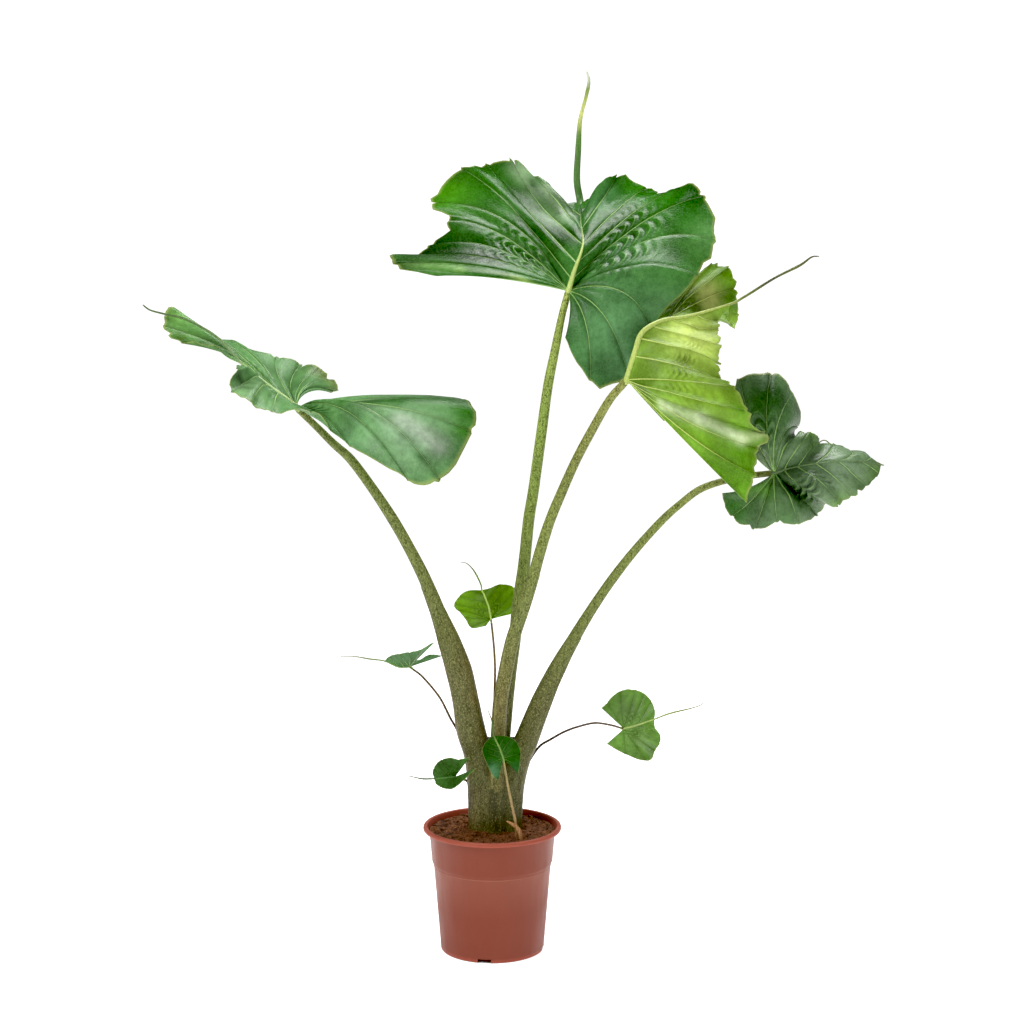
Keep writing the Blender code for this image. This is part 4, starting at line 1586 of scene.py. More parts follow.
@dataclass
class Studio:
    """The floor, the soft lights and the camera at the photograph's angle."""

    camera_place: Point = (0.030, -3.2, 1.10)
    camera_pitch: float = 82.37
    focal: float = 76.11
    floor_radius: float = 18.0
    floor_drop: float = 0.0005
    backdrop: float = 1.15
    black: float = 0.020
    band: tuple[float, float] = (0.12, 0.32)
    horizon: float = 0.42
    dome: float = 0.26
    lamps: tuple[tuple[str, Point, Point, float, float], ...] = (
        ("key", (-1.7, -1.9, 2.9), (0.05, 0, 0.8), 1.1, 88),
        ("fill", (2.3, -2.3, 1.5), (0.1, 0, 0.7), 1.3, 26),
        ("top", (0.5, 0.9, 2.9), (0.1, 0, 0.9), 1.2, 60),
    )

    def floor(self) -> None:
        """Lays the floor."""
        maker = bmesh.new()
        bmesh.ops.create_circle(maker, cap_ends=True, segments=96, radius=self.floor_radius)
        bmesh.ops.translate(maker, verts=maker.verts, vec=(0, 0, -self.floor_drop))
        mesh = bpy.data.meshes.new("studio_floor")
        maker.to_mesh(mesh)
        maker.free()
        mesh.materials.append(StudioFloor().material())
        floor = bpy.data.objects.new("studio_floor", mesh)
        bpy.context.scene.collection.objects.link(floor)

    def light(self, name: str, place: Point, aim: Point, size: float, power: float) -> None:
        """Hangs one soft light.

        Args:
            name: the light's name.
            place: where it hangs, in metres.
            aim: what it points at.
            size: the side of its square.
            power: its power in watts.
        """
        data = bpy.data.lights.new(name, "AREA")
        data.shape = "SQUARE"
        data.size = size
        data.energy = power
        lamp = bpy.data.objects.new(name, data)
        lamp.location = place
        lamp.rotation_euler = (Vector(aim) - Vector(place)).to_track_quat("-Z", "Y").to_euler()
        bpy.context.scene.collection.objects.link(lamp)

    def sky(self) -> None:
        """Hangs a sky that is bright to the camera and darker to everything else."""
        world = bpy.data.worlds.new("studio_sky")
        world.use_nodes = True
        tree = world.node_tree
        background = tree.nodes["Background"]
        parts = tree.nodes.new("ShaderNodeSeparateXYZ")
        tree.links.new(tree.nodes.new("ShaderNodeTexCoord").outputs["Generated"], parts.inputs[0])
        rise = tree.nodes.new("ShaderNodeMapRange")
        rise.interpolation_type = "SMOOTHSTEP"
        for index, value in enumerate((*self.band, self.horizon, self.dome), start=1):
            rise.inputs[index].default_value = value
        tree.links.new(parts.outputs["Z"], rise.inputs[0])
        seen = tree.nodes.new("ShaderNodeMix")
        seen.inputs[3].default_value = self.backdrop
        tree.links.new(rise.outputs[0], seen.inputs[2])
        path = tree.nodes.new("ShaderNodeLightPath")
        tree.links.new(path.outputs["Is Camera Ray"], seen.inputs[0])
        tree.links.new(seen.outputs[0], background.inputs["Strength"])
        background.inputs["Color"].default_value = (1, 1, 1, 1)
        bpy.context.scene.world = world

    def camera(self) -> None:
        """Stands the camera where the photograph was taken."""
        data = bpy.data.cameras.new("camera")
        data.lens = self.focal
        data.sensor_width = 36
        data.clip_end = 100
        view = bpy.data.objects.new("camera", data)
        view.location = self.camera_place
        view.rotation_euler = (math.radians(self.camera_pitch), 0, 0)
        bpy.context.scene.collection.objects.link(view)
        bpy.context.scene.camera = view

    def build(self) -> None:
        """Sets up the whole studio and its plain view of colours."""
        self.floor()
        self.sky()
        for lamp in self.lamps:
            self.light(*lamp)
        self.camera()
        settings = bpy.context.scene.view_settings
        settings.view_transform = "Standard"
        settings.use_curve_mapping = True
        settings.curve_mapping.black_level = (self.black,) * 3
        settings.curve_mapping.update()


def rib_rows(*rows: tuple[float, ...]) -> list[Rib]:
    """Reads rows of ribs: each a point half way out, then the point at the edge."""
    return [(row[:3], row[3:]) for row in rows]


LARGE_LEAVES: dict[str, LeafForm] = {
    "left": LeafForm(
        stalk=[
            (-15, 0, 120), (-16, 0, 200), (-19, 0, 285), (-32, 0, 339), (-40, 0, 385),
            (-50, 0, 431), (-65, 0, 477), (-82, 0, 523), (-100, 0, 569), (-122, 0, 614),
            (-147, 0, 659), (-176, 0, 704), (-209, 2, 749), (-236, 4, 774), (-260, 5, 798),
        ],
        radii=(20, 20, 21, 22, 20, 20, 17, 11.4, 9.5, 8.5, 8.3, 7.4, 7.0, 6.2, 5.4),
        midrib=[(-289, 0, 827), (-309, 0, 843), (-332, 10, 859), (-352, 20, 874), (-371, 30, 889)],
        tail=[
            (-389, 40, 907), (-411, 50, 928), (-438, 55, 945), (-465, 60, 957),
            (-491, 60, 963), (-513, 60, 969), (-524, 60, 977),
        ],
        midrib_shares=(0.72, 0.5),
        halves=(rib_rows(
            (-380, 43, 890, -398, 50, 899), (-384, 49, 893, -418, 55, 913),
            (-388, 55, 897, -446, 59, 922), (-391, 60, 900, -469, 58, 921),
            (-394, 65, 903, -488, 60, 929), (-395, 70, 906, -494, 67, 951),
            (-394, 76, 908, -487, 80, 973), (-390, 82, 908, -464, 95, 950),
            (-374, 80, 901, -436, 103, 928), (-356, 78, 892, -397, 108, 913),
            (-334, 68, 878, -351, 107, 904), (-313, 70, 863, -310, 120, 890),
            (-294, 60, 856, -272, 120, 881), (-281, 50, 857, -249, 120, 863),
            (-276, 45, 852, -238, 110, 844), (-278, 28, 846, -252, 92, 846),
        ), rib_rows(
            (-366, 3, 884, -376, -22, 889), (-359, -10, 877, -380, -58, 867),
            (-347, -30, 866, -361, -90, 849), (-327, -40, 852, -331, -90, 834),
            (-309, -40, 839, -302, -80, 825), (-281, -30, 826, -252, -60, 822),
            (-244, -40, 817, -204, -90, 779), (-213, -60, 822, -135, -120, 744),
            (-194, -65, 827, -103, -125, 726), (-173, -70, 831, -66, -120, 738),
            (-159, -65, 837, -31, -80, 790), (-155, -50, 840, -26, -40, 830),
            (-164, -20, 843, -59, 0, 840), (-217, 0, 842, -137, 20, 842),
        )),
    ),
    "dark": LeafForm(
        stalk=[
            (24, 3, 120), (25, 3, 200), (29, 3, 250), (38, 2, 291), (50, 1, 318),
            (58, 0, 339), (76, 0, 385), (97, 1, 431), (122, 2, 477), (149, 4, 522),
            (180, 6, 568), (215, 9, 613), (255, 13, 657), (282, 16, 681), (310, 19, 702),
            (342, 21, 714), (382, 18, 723),
        ],
        radii=(20, 20, 20, 19.5, 18.5, 17.5, 15.8, 12.8, 9.5, 7.8, 7.2, 6.5, 6, 5.6, 5.5, 5.2, 5),
        midrib=[(420, 0, 730), (442, -10, 738), (478, -20, 746), (531, -10, 749), (582, 20, 740)],
        tail=[
            (586, 34, 738), (582, 50, 740), (572, 60, 742), (544, 66, 748),
            (518, 62, 762), (503, 58, 773), (492, 58, 768),
        ],
        midrib_shares=(0.5, 0.5),
        halves=(rib_rows(
            (561, 10, 750, 561, 30, 752), (529, 0, 757, 531, 30, 763),
            (491, 0, 760, 502, 20, 773), (460, -18, 765, 480, 2, 785),
            (440, -24, 768, 459, -6, 790), (431, -28, 778, 454, 18, 791),
            (426, -26, 794, 458, 34, 806), (416, -26, 804, 442, 32, 859),
            (403, -20, 803, 408, 30, 875), (386, 0, 794, 366, 20, 867),
            (381, 5, 767, 352, 20, 825),
        ), rib_rows(
            (565, 0, 733, 572, 0, 724), (522, -20, 729, 548, -20, 707),
            (491, -30, 723, 520, -20, 690), (462, -45, 710, 498, -20, 684),
            (456, 0, 697, 488, 20, 664), (437, -20, 696, 455, 0, 656),
            (418, -30, 693, 424, -20, 659), (402, -30, 689, 389, -30, 651),
            (387, -30, 696, 356, -20, 668), (382, -20, 711, 342, -10, 701),
        )),
    ),
    "lime": LeafForm(
        stalk=[
            (5, -15, 120), (6, -15, 200), (7, -14, 280), (10, -13, 342), (13, -18, 389),
            (21, -23, 436), (31, -28, 483), (46, -34, 529), (60, -40, 575), (72, -48, 621),
            (86, -57, 667), (104, -68, 713), (123, -80, 758), (145, -98, 803), (169, -117, 848),
        ],
        radii=(13, 13, 12.5, 11.5, 11, 10.8, 10.5, 9.5, 8.7, 8.3, 7.7, 7.2, 6.8, 6.5, 6),
        midrib=[
            (193, -130, 878), (204, -140, 918), (214, -135, 945),
            (243, -115, 961), (285, -90, 967), (346, -50, 982),
        ],
        tail=[(369, -40, 993), (414, -20, 1019), (453, 0, 1037), (470, 0, 1049), (481, 0, 1050)],
        midrib_shares=(0.5, 0.5),
        halves=(rib_rows(
            (306, -86, 960, 328, -72, 958), (292, -103, 951, 327, -92, 949),
            (282, -130, 934, 326, -120, 917), (266, -155, 916, 321, -140, 893),
            (255, -180, 893, 334, -160, 876), (253, -190, 871, 352, -170, 858),
            (255, -200, 855, 363, -180, 820), (272, -200, 838, 391, -170, 806),
            (278, -200, 820, 376, -180, 780), (278, -200, 803, 370, -190, 745),
            (270, -190, 798, 359, -190, 710),
        ), rib_rows(
            (325, -40, 970, 346, -20, 961), (318, -10, 963, 357, 0, 951),
            (307, 0, 979, 363, 30, 988), (292, 0, 986, 357, 50, 1026),
            (277, 0, 986, 329, 60, 1038), (246, -18, 968, 286, 52, 1008),
            (230, -28, 940, 262, 52, 968), (238, -50, 894, 297, 50, 910),
            (230, -70, 859, 295, 20, 845), (214, -90, 853, 253, -30, 810),
        )),
    ),
    "upper": LeafForm(
        stalk=[
            (9, 19, 120), (10, 19, 200), (14, 16, 280), (18, 13, 327), (23, 8, 383),
            (28, 4, 430), (34, 1, 477), (40, 0, 538), (48, 0, 591), (55, -3, 660),
            (62, -6, 705), (74, -13, 795), (83, -20, 862), (93, -27, 914), (102, -31, 961),
        ],
        radii=(12, 12, 11, 10, 9.6, 9.4, 9.3, 9.2, 9, 8.6, 8.2, 7.8, 7.2, 6.4, 5.4),
        midrib=[
            (112, -30, 1000), (120, -35, 1028), (134, 0, 1067), (133, 70, 1100), (134, 130, 1129),
        ],
        tail=[
            (129, 140, 1163), (131, 145, 1209), (134, 150, 1254),
            (143, 150, 1290), (147, 150, 1314), (141, 150, 1332),
        ],
        midrib_shares=(0.5, 0.5),
        halves=(rib_rows(
            (120, 113, 1120, 103, 128, 1130), (103, 104, 1127, 73, 125, 1157),
            (86, 101, 1128, 42, 130, 1190), (62, 98, 1124, 16, 130, 1192),
            (39, 90, 1125, -22, 120, 1183), (30, 80, 1115, -54, 100, 1175),
            (24, 60, 1100, -91, 80, 1128), (20, 45, 1085, -64, 50, 1112),
            (12, 30, 1071, -71, 30, 1084), (5, 10, 1059, -94, 20, 1062),
            (-2, -10, 1049, -114, 10, 1050), (-6, -30, 1039, -148, 0, 1048),
            (-6, -50, 1030, -130, -30, 1032), (11, -65, 1019, -74, -50, 1023),
        ), rib_rows(
            (143, 112, 1123, 153, 120, 1138), (155, 107, 1131, 173, 125, 1165),
            (172, 104, 1132, 200, 130, 1169), (193, 98, 1122, 236, 120, 1151),
            (207, 85, 1115, 265, 100, 1145), (219, 70, 1107, 296, 70, 1158),
            (225, 50, 1091, 324, 50, 1125), (226, 20, 1071, 330, 20, 1074),
            (217, -10, 1048, 313, 0, 1037), (204, -35, 1028, 286, -30, 1005),
            (189, -50, 1005, 237, -55, 956), (174, -60, 985, 215, -65, 914),
            (160, -60, 962, 192, -70, 876), (143, -60, 952, 157, -70, 863),
            (128, -60, 957, 126, -65, 895), (114, -50, 971, 107, -60, 934),
        )),
    ),
}

SMALL_LEAVES: dict[str, LeafForm] = {
    "small_back": LeafForm.small(
        stalk=[(8, 46, 135), (8, 46, 249), (5, 50, 311), (3, 55, 368), (4, 60, 419), (2, 60, 458)],
        midrib=[(-2, 55, 499), (-5, 50, 517), (-11, 55, 533), (-16, 60, 543)],
        tail=[(-18, 65, 552), (-28, 80, 569), (-39, 90, 579), (-50, 100, 580)],
        edges=(
            [(-39, 70, 540), (-54, 60, 529), (-58, 50, 519), (-48, 45, 510), (-40, 40, 500),
             (-31, 40, 488), (-10, 45, 490)],
            [(-4, 60, 546), (12, 60, 552), (30, 60, 549), (42, 55, 538), (42, 50, 523),
             (32, 45, 510), (16, 45, 506)],
        ),
    ),
    "small_left": LeafForm.small(
        stalk=[
            (-30, 30, 135), (-31, 29, 190), (-33, 27, 239), (-40, 22, 287), (-51, 17, 329),
            (-64, 10, 356), (-80, 5, 389), (-105, 0, 421),
        ],
        midrib=[(-124, 0, 436), (-141, -4, 437), (-161, -10, 447)],
        tail=[(-182, -10, 450), (-207, -10, 454), (-224, -10, 454), (-231, -10, 452)],
        edges=(
            [(-155, -20, 455), (-144, -30, 461), (-129, -35, 464), (-107, -35, 469),
             (-85, -30, 480)],
            [(-151, 15, 444), (-133, 40, 438), (-114, 50, 436), (-95, 55, 443), (-76, 55, 442)],
        ),
    ),
    "small_low": LeafForm.small(
        stalk=[(-33, 22, 135), (-32, 21, 190), (-33, 17, 226), (-37, 10, 254), (-44, -2, 263)],
        midrib=[(-56, -15, 270), (-71, -20, 270), (-87, -25, 270)],
        tail=[(-104, -30, 271), (-119, -30, 274), (-129, -30, 276)],
        edges=(
            [(-89, -30, 283), (-81, -35, 298), (-66, -37, 305), (-49, -40, 304), (-33, -45, 308)],
            [(-84, -30, 263), (-75, -33, 258), (-61, -37, 257), (-48, -40, 266), (-24, -45, 291)],
        ),
    ),
    "small_front": LeafForm.small(
        stalk=[(37, -48, 135), (36, -50, 200), (30, -54, 236), (26, -54, 256), (21, -50, 282)],
        midrib=[(17, -55, 309), (11, -55, 326), (3, -50, 342)],
        tail=[(2, -45, 354), (-1, -42, 366), (-6, -42, 379)],
        edges=(
            [(-4, -50, 337), (-12, -52, 328), (-14, -55, 318), (-7, -60, 301), (0, -63, 287),
             (9, -65, 277)],
            [(12, -50, 342), (26, -50, 340), (37, -50, 332), (43, -55, 317), (41, -60, 298),
             (39, -62, 287)],
        ),
    ),
    "small_right": LeafForm.small(
        stalk=[
            (34, 40, 135), (36, 38, 200), (39, 36, 228), (51, 30, 272), (70, 22, 306),
            (88, 20, 319), (111, 20, 332), (133, 20, 340), (156, 20, 345), (179, 20, 342),
        ],
        midrib=[(200, 20, 336), (221, 15, 343), (246, 15, 352)],
        tail=[(269, 10, 362), (299, 0, 372), (314, 0, 377), (323, 0, 384)],
        edges=(
            [(247, 20, 365), (240, 30, 380), (227, 35, 390), (209, 40, 393), (189, 40, 387),
             (173, 35, 371), (166, 30, 366)],
            [(247, 10, 340), (254, 0, 331), (253, -10, 321), (245, -15, 309), (238, -20, 297),
             (217, -20, 299), (193, -15, 309), (173, -10, 320)],
        ),
    ),
}


def patch_rows(*rows: tuple[float, ...]) -> tuple[Patch, ...]:
    """Reads rows of patches.

    Args:
        *rows: each a patch's place, reach, sRGB colour and share, then the far end, if any.

    Returns:
        The patches.
    """
    return tuple(
        Patch(row[:3], row[3], shade(*row[4:7]), row[7], row[8:] or None) for row in rows
    )


def fold_rows(*rows: tuple[float, ...]) -> tuple[Fold, ...]:
    """Reads rows of folds: each a half, share, breadth, rise and start."""
    return tuple(Fold(*row) for row in rows)


UPPER_BLADE = Blade(
    "upper", LARGE_LEAVES["upper"],
    Relief(
        puff=2.8, pucker=2.6, pucker_places=(0.33, 0.38), pucker_reach=0.21,
        pucker_ribs=(0.66, 0.47), pucker_breadth=0.14, cross_folds=13, ruffle=4.8, waves=8,
        crimp=2.4, ragged=4.8, seed=11,
    ),
    base=shade(62, 116, 46), upper_way=(0, -1, 0.6),
    # Besides the leaf's own greens, these patches paint light and shade: the dark greens at (285,
    # 60, 1130) and (225, 100, 1140) are painted shade where the right margin curls away from the
    # light, the pale patch at (322, 30, 1070) is painted light on the lit part beside it, and the
    # pale streaks from (42, 130, 1182) and (80, 118, 1150) are painted highlights along a fold
    # crease, with painted shade in the crease from (60, 124, 1160). The other dark and pale patches
    # deepen the blade's contrast.
    patches=patch_rows(
        (200, -50, 930, 95, 104, 150, 104, 0.9), (200, -66, 890, 24, 128, 176, 130, 0.7),
        (285, 60, 1130, 55, 22, 92, 0, 0.95), (225, 100, 1140, 55, 44, 122, 0, 0.85),
        (322, 30, 1070, 34, 110, 164, 96, 0.7), (-75, 90, 1150, 45, 84, 160, 30, 0.8),
        (0, 110, 1160, 38, 36, 100, 10, 0.85),
        (42, 130, 1182, 16, 176, 206, 160, 0.75, 99, 60, 1110),
        (80, 118, 1150, 9, 190, 214, 176, 0.6, 110, 80, 1112),
        (60, 124, 1160, 7, 20, 70, 6, 0.7, 100, 80, 1116),
        (105, 30, 1078, 26, 18, 76, 4, 0.85, 50, 50, 1095), (165, 50, 1092, 28, 24, 86, 4, 0.85),
        (160, 90, 1125, 16, 110, 164, 110, 0.7, 180, 110, 1150),
        (190, 13, 1058, 22, 60, 112, 60, 0.7), (-20, 0, 1055, 34, 26, 82, 8, 0.8, -80, 20, 1068),
        (-46, -51, 1032, 8, 130, 172, 100, 0.7, -120, -28, 1036),
        (-100, 8, 1054, 24, 12, 56, 0, 0.95, 0, -15, 1044),
        (-20, 20, 1075, 16, 20, 72, 4, 0.8, 60, 10, 1060),
        (-46, -51, 1026, 5, 170, 196, 110, 0.6, 70, -58, 1012),
    ),
    folds=fold_rows(
        (0, 0.14, 0.035, 7, 0.25), (0, 0.24, 0.04, -6, 0.2), (0, 0.40, 0.04, 5, 0.3),
        (0, 0.56, 0.03, -6, 0.45), (0, 0.66, 0.03, 5, 0.5), (1, 0.12, 0.03, 5, 0.2),
        (1, 0.21, 0.03, -7, 0.3), (1, 0.36, 0.03, -5, 0.5), (1, 0.44, 0.04, 4, 0.3),
        (1, 0.62, 0.05, 3.5, 0.4),
    ),
    tail_colours=shades(
        (78, 120, 60), (70, 112, 56), (66, 106, 50), (70, 108, 50), (80, 118, 52),
        (200, 204, 120), (110, 132, 60), (226, 226, 218),
    ),
    rib_radii=(4.6, 2.6, 1.3, 0.9, 1.2), rib_end=0.42,
    tail_radii=(3.2, 3.0, 2.8, 2.6, 2.0, 1.5, 1.6, 0.7),
    tail_breadth=1.75,
)

LIME_BLADE = Blade(
    "lime", LARGE_LEAVES["lime"],
    Relief(
        puff=2.6, pucker=2.4, pucker_places=(0.58, 0.4), pucker_reach=0.12,
        pucker_ribs=(0.44, 0.4), pucker_breadth=0.16, cross_folds=17, ruffle=4.0, waves=8,
        crimp=2.4, ragged=4.2, seed=23,
    ),
    base=shade(134, 180, 66), upper_way=(0.5, 0.8, 0.6),
    # Besides the leaf's own yellow-greens, these patches paint highlights: the near-white patch at
    # (322, 18, 986) and the streak from (300, 10, 970) are a painted highlight on the far half, and
    # the near-white streaks from (237, -182, 846) to (392, -172, 808) are a painted highlight along
    # a fold.
    patches=patch_rows(
        (340, -190, 745, 100, 96, 156, 30, 0.9), (290, -120, 940, 52, 226, 246, 130, 0.85),
        (300, -190, 880, 60, 160, 200, 70, 0.6), (322, 18, 986, 24, 252, 255, 160, 0.95),
        (300, 10, 970, 10, 240, 250, 150, 0.7, 352, 20, 1006), (358, 36, 984, 20, 70, 124, 0, 0.9),
        (355, 45, 1020, 18, 110, 166, 20, 0.8), (354, 10, 955, 16, 150, 190, 70, 0.7),
        (260, 10, 960, 22, 28, 80, 8, 0.9, 300, 10, 968),
        (237, -182, 846, 8, 232, 250, 200, 0.85, 291, -202, 829),
        (291, -202, 829, 8, 232, 250, 200, 0.9, 352, -191, 800),
        (350, -190, 800, 8, 226, 246, 180, 0.6, 392, -172, 808),
        (215, -160, 868, 9, 70, 130, 8, 0.75, 345, -180, 838),
        (250, -180, 828, 8, 70, 134, 4, 0.6, 350, -190, 776), (352, -150, 885, 22, 96, 160, 6, 0.8),
    ),
    folds=fold_rows(
        (0, 0.18, 0.03, 4, 0.3), (0, 0.34, 0.03, -4, 0.3), (0, 0.62, 0.04, -8, 0.15),
        (0, 0.72, 0.04, 6, 0.2), (1, 0.25, 0.04, 8, 0.3), (1, 0.40, 0.04, -8, 0.3),
    ),
    rib_colour=shade(170, 186, 100),
    tail_colours=shades(
        (158, 172, 88), (96, 108, 46), (58, 60, 28), (88, 94, 44), (60, 52, 32)
    ),
    tail_radii=(1.9, 2.0, 1.8, 2.2, 0.9),
)

DARK_BLADE = Blade(
    "dark", LARGE_LEAVES["dark"],
    Relief(
        puff=2.8, pucker=3.2, pucker_places=(0.45, 0.5), pucker_reach=0.2,
        pucker_ribs=(0.83, 0.4), pucker_breadth=0.12, cross_folds=8, ruffle=3.2, waves=7,
        crimp=1.6, ragged=3.0, seed=37,
    ),
    base=shade(114, 142, 104), upper_way=(0, -1, 0.3),
    # Besides the leaf's own greens, the drawn-out streaks paint light and shade on the radiating
    # folds: the pale ones from (404, -22, 706), (575, 10, 728) and (404, -5, 764) are painted
    # highlights, and the dark ones from (498, -20, 686), (420, -5, 756) and (440, -10, 742) are
    # painted shade.
    patches=patch_rows(
        (410, 0, 835, 42, 32, 82, 14, 0.95), (400, -18, 790, 26, 60, 104, 46, 0.8),
        (440, -10, 800, 14, 96, 140, 84, 0.7), (470, 0, 782, 20, 110, 156, 70, 0.75),
        (430, -10, 668, 42, 70, 112, 54, 0.8), (360, -22, 676, 26, 50, 122, 6, 0.85),
        (404, -22, 706, 15, 116, 170, 84, 0.95, 385, -25, 714),
        (498, -20, 686, 13, 34, 66, 20, 0.85, 440, -10, 704),
        (575, 10, 728, 14, 120, 164, 74, 0.7, 505, -20, 688),
        (514, -20, 738, 34, 124, 148, 116, 0.7),
        (404, -5, 764, 9, 170, 190, 150, 0.7, 415, -2, 738),
        (420, -5, 756, 6, 40, 70, 26, 0.8, 470, -10, 778),
        (440, -10, 742, 6, 46, 76, 34, 0.7, 500, -10, 752),
    ),
    folds=fold_rows(
        (0, 0.12, 0.04, 4, 0.2), (0, 0.30, 0.03, -6, 0.15), (0, 0.40, 0.03, 6, 0.2),
        (0, 0.52, 0.03, -7, 0.1), (0, 0.66, 0.04, 4, 0.2), (1, 0.18, 0.04, -4, 0.2),
        (1, 0.34, 0.03, 6, 0.1), (1, 0.44, 0.03, -8, 0.1), (1, 0.60, 0.04, 5, 0.2),
    ),
    rib_colour=shade(92, 116, 78), rib_radii=(4.0, 2.0, 1.0, 0.8),
    tail_colours=shades((100, 120, 80), (110, 128, 84)), tail_radii=(1.0, 1.1, 0.9),
)

LEFT_BLADE = Blade(
    "left", LARGE_LEAVES["left"],
    Relief(puff=2.0, pucker=0.8, ruffle=4.2, waves=8, crimp=1.4, ragged=2.8, seed=41),
    base=shade(104, 154, 92), upper_way=(0, -0.3, 1),
    # These patches paint the leaf's own greens and, with them, light and shade: the pale grey-green
    # at (-120, -95, 795) is a painted sheen over the near half, with a painted highlight streak
    # from (-130, -80, 815); the dark greens from (-215, -45, 838) to (-38, -50, 824) are painted
    # shade along the top margin where it turns away from the light; and the dark streaks from
    # (-368, -36, 876), (-362, -62, 864) and (-345, -84, 852) are painted shade in the pleats of the
    # left lobe.
    patches=patch_rows(
        (-120, -95, 795, 55, 148, 186, 142, 0.9),
        (-130, -80, 815, 14, 206, 222, 200, 0.8, -75, -100, 780),
        (-215, -45, 838, 7, 40, 112, 4, 0.9, -133, -56, 840),
        (-133, -50, 838, 13, 34, 104, 0, 0.97, -60, -36, 834),
        (-38, -50, 824, 19, 52, 132, 8, 0.95), (-40, -76, 800, 14, 84, 160, 50, 0.8),
        (-200, -80, 790, 30, 110, 164, 104, 0.7), (-160, -110, 765, 20, 76, 128, 62, 0.6),
        (-180, -66, 815, 5, 60, 110, 56, 0.7, -100, -112, 762),
        (-440, 60, 935, 36, 112, 164, 84, 0.7), (-480, 75, 962, 22, 130, 186, 92, 0.8),
        (-470, 62, 926, 15, 66, 96, 30, 0.85), (-360, -60, 860, 34, 140, 184, 124, 0.7),
        (-368, -36, 876, 7, 30, 60, 26, 0.95, -326, -48, 868),
        (-362, -62, 864, 5, 40, 72, 34, 0.9, -316, -64, 852),
        (-345, -84, 852, 5, 44, 78, 38, 0.8, -300, -72, 840),
        (-262, 116, 872, 22, 120, 128, 74, 0.7, -245, 112, 855),
        (-300, 60, 862, 14, 84, 138, 76, 0.7),
    ),
    folds=fold_rows(
        (0, 0.55, 0.02, -5, 0.2), (0, 0.62, 0.02, 5, 0.2), (0, 0.78, 0.03, -4, 0.2),
        (1, 0.10, 0.025, 6, 0.2), (1, 0.17, 0.02, -7, 0.2), (1, 0.24, 0.02, 6, 0.2),
        (1, 0.31, 0.02, -6, 0.2), (1, 0.38, 0.02, 5, 0.2), (1, 0.46, 0.02, -5, 0.2),
        (1, 0.66, 0.04, 6, 0.2), (1, 0.78, 0.03, -4, 0.2), (1, 0.88, 0.03, 4, 0.3),
    ),
    rib_colour=shade(150, 178, 116),
    tail_colours=shades((96, 126, 72), (70, 98, 52), (56, 76, 42)),
    tail_radii=(2.0, 1.7, 1.2),
)

LARGE_BLADES = (LEFT_BLADE, DARK_BLADE, LIME_BLADE, UPPER_BLADE)


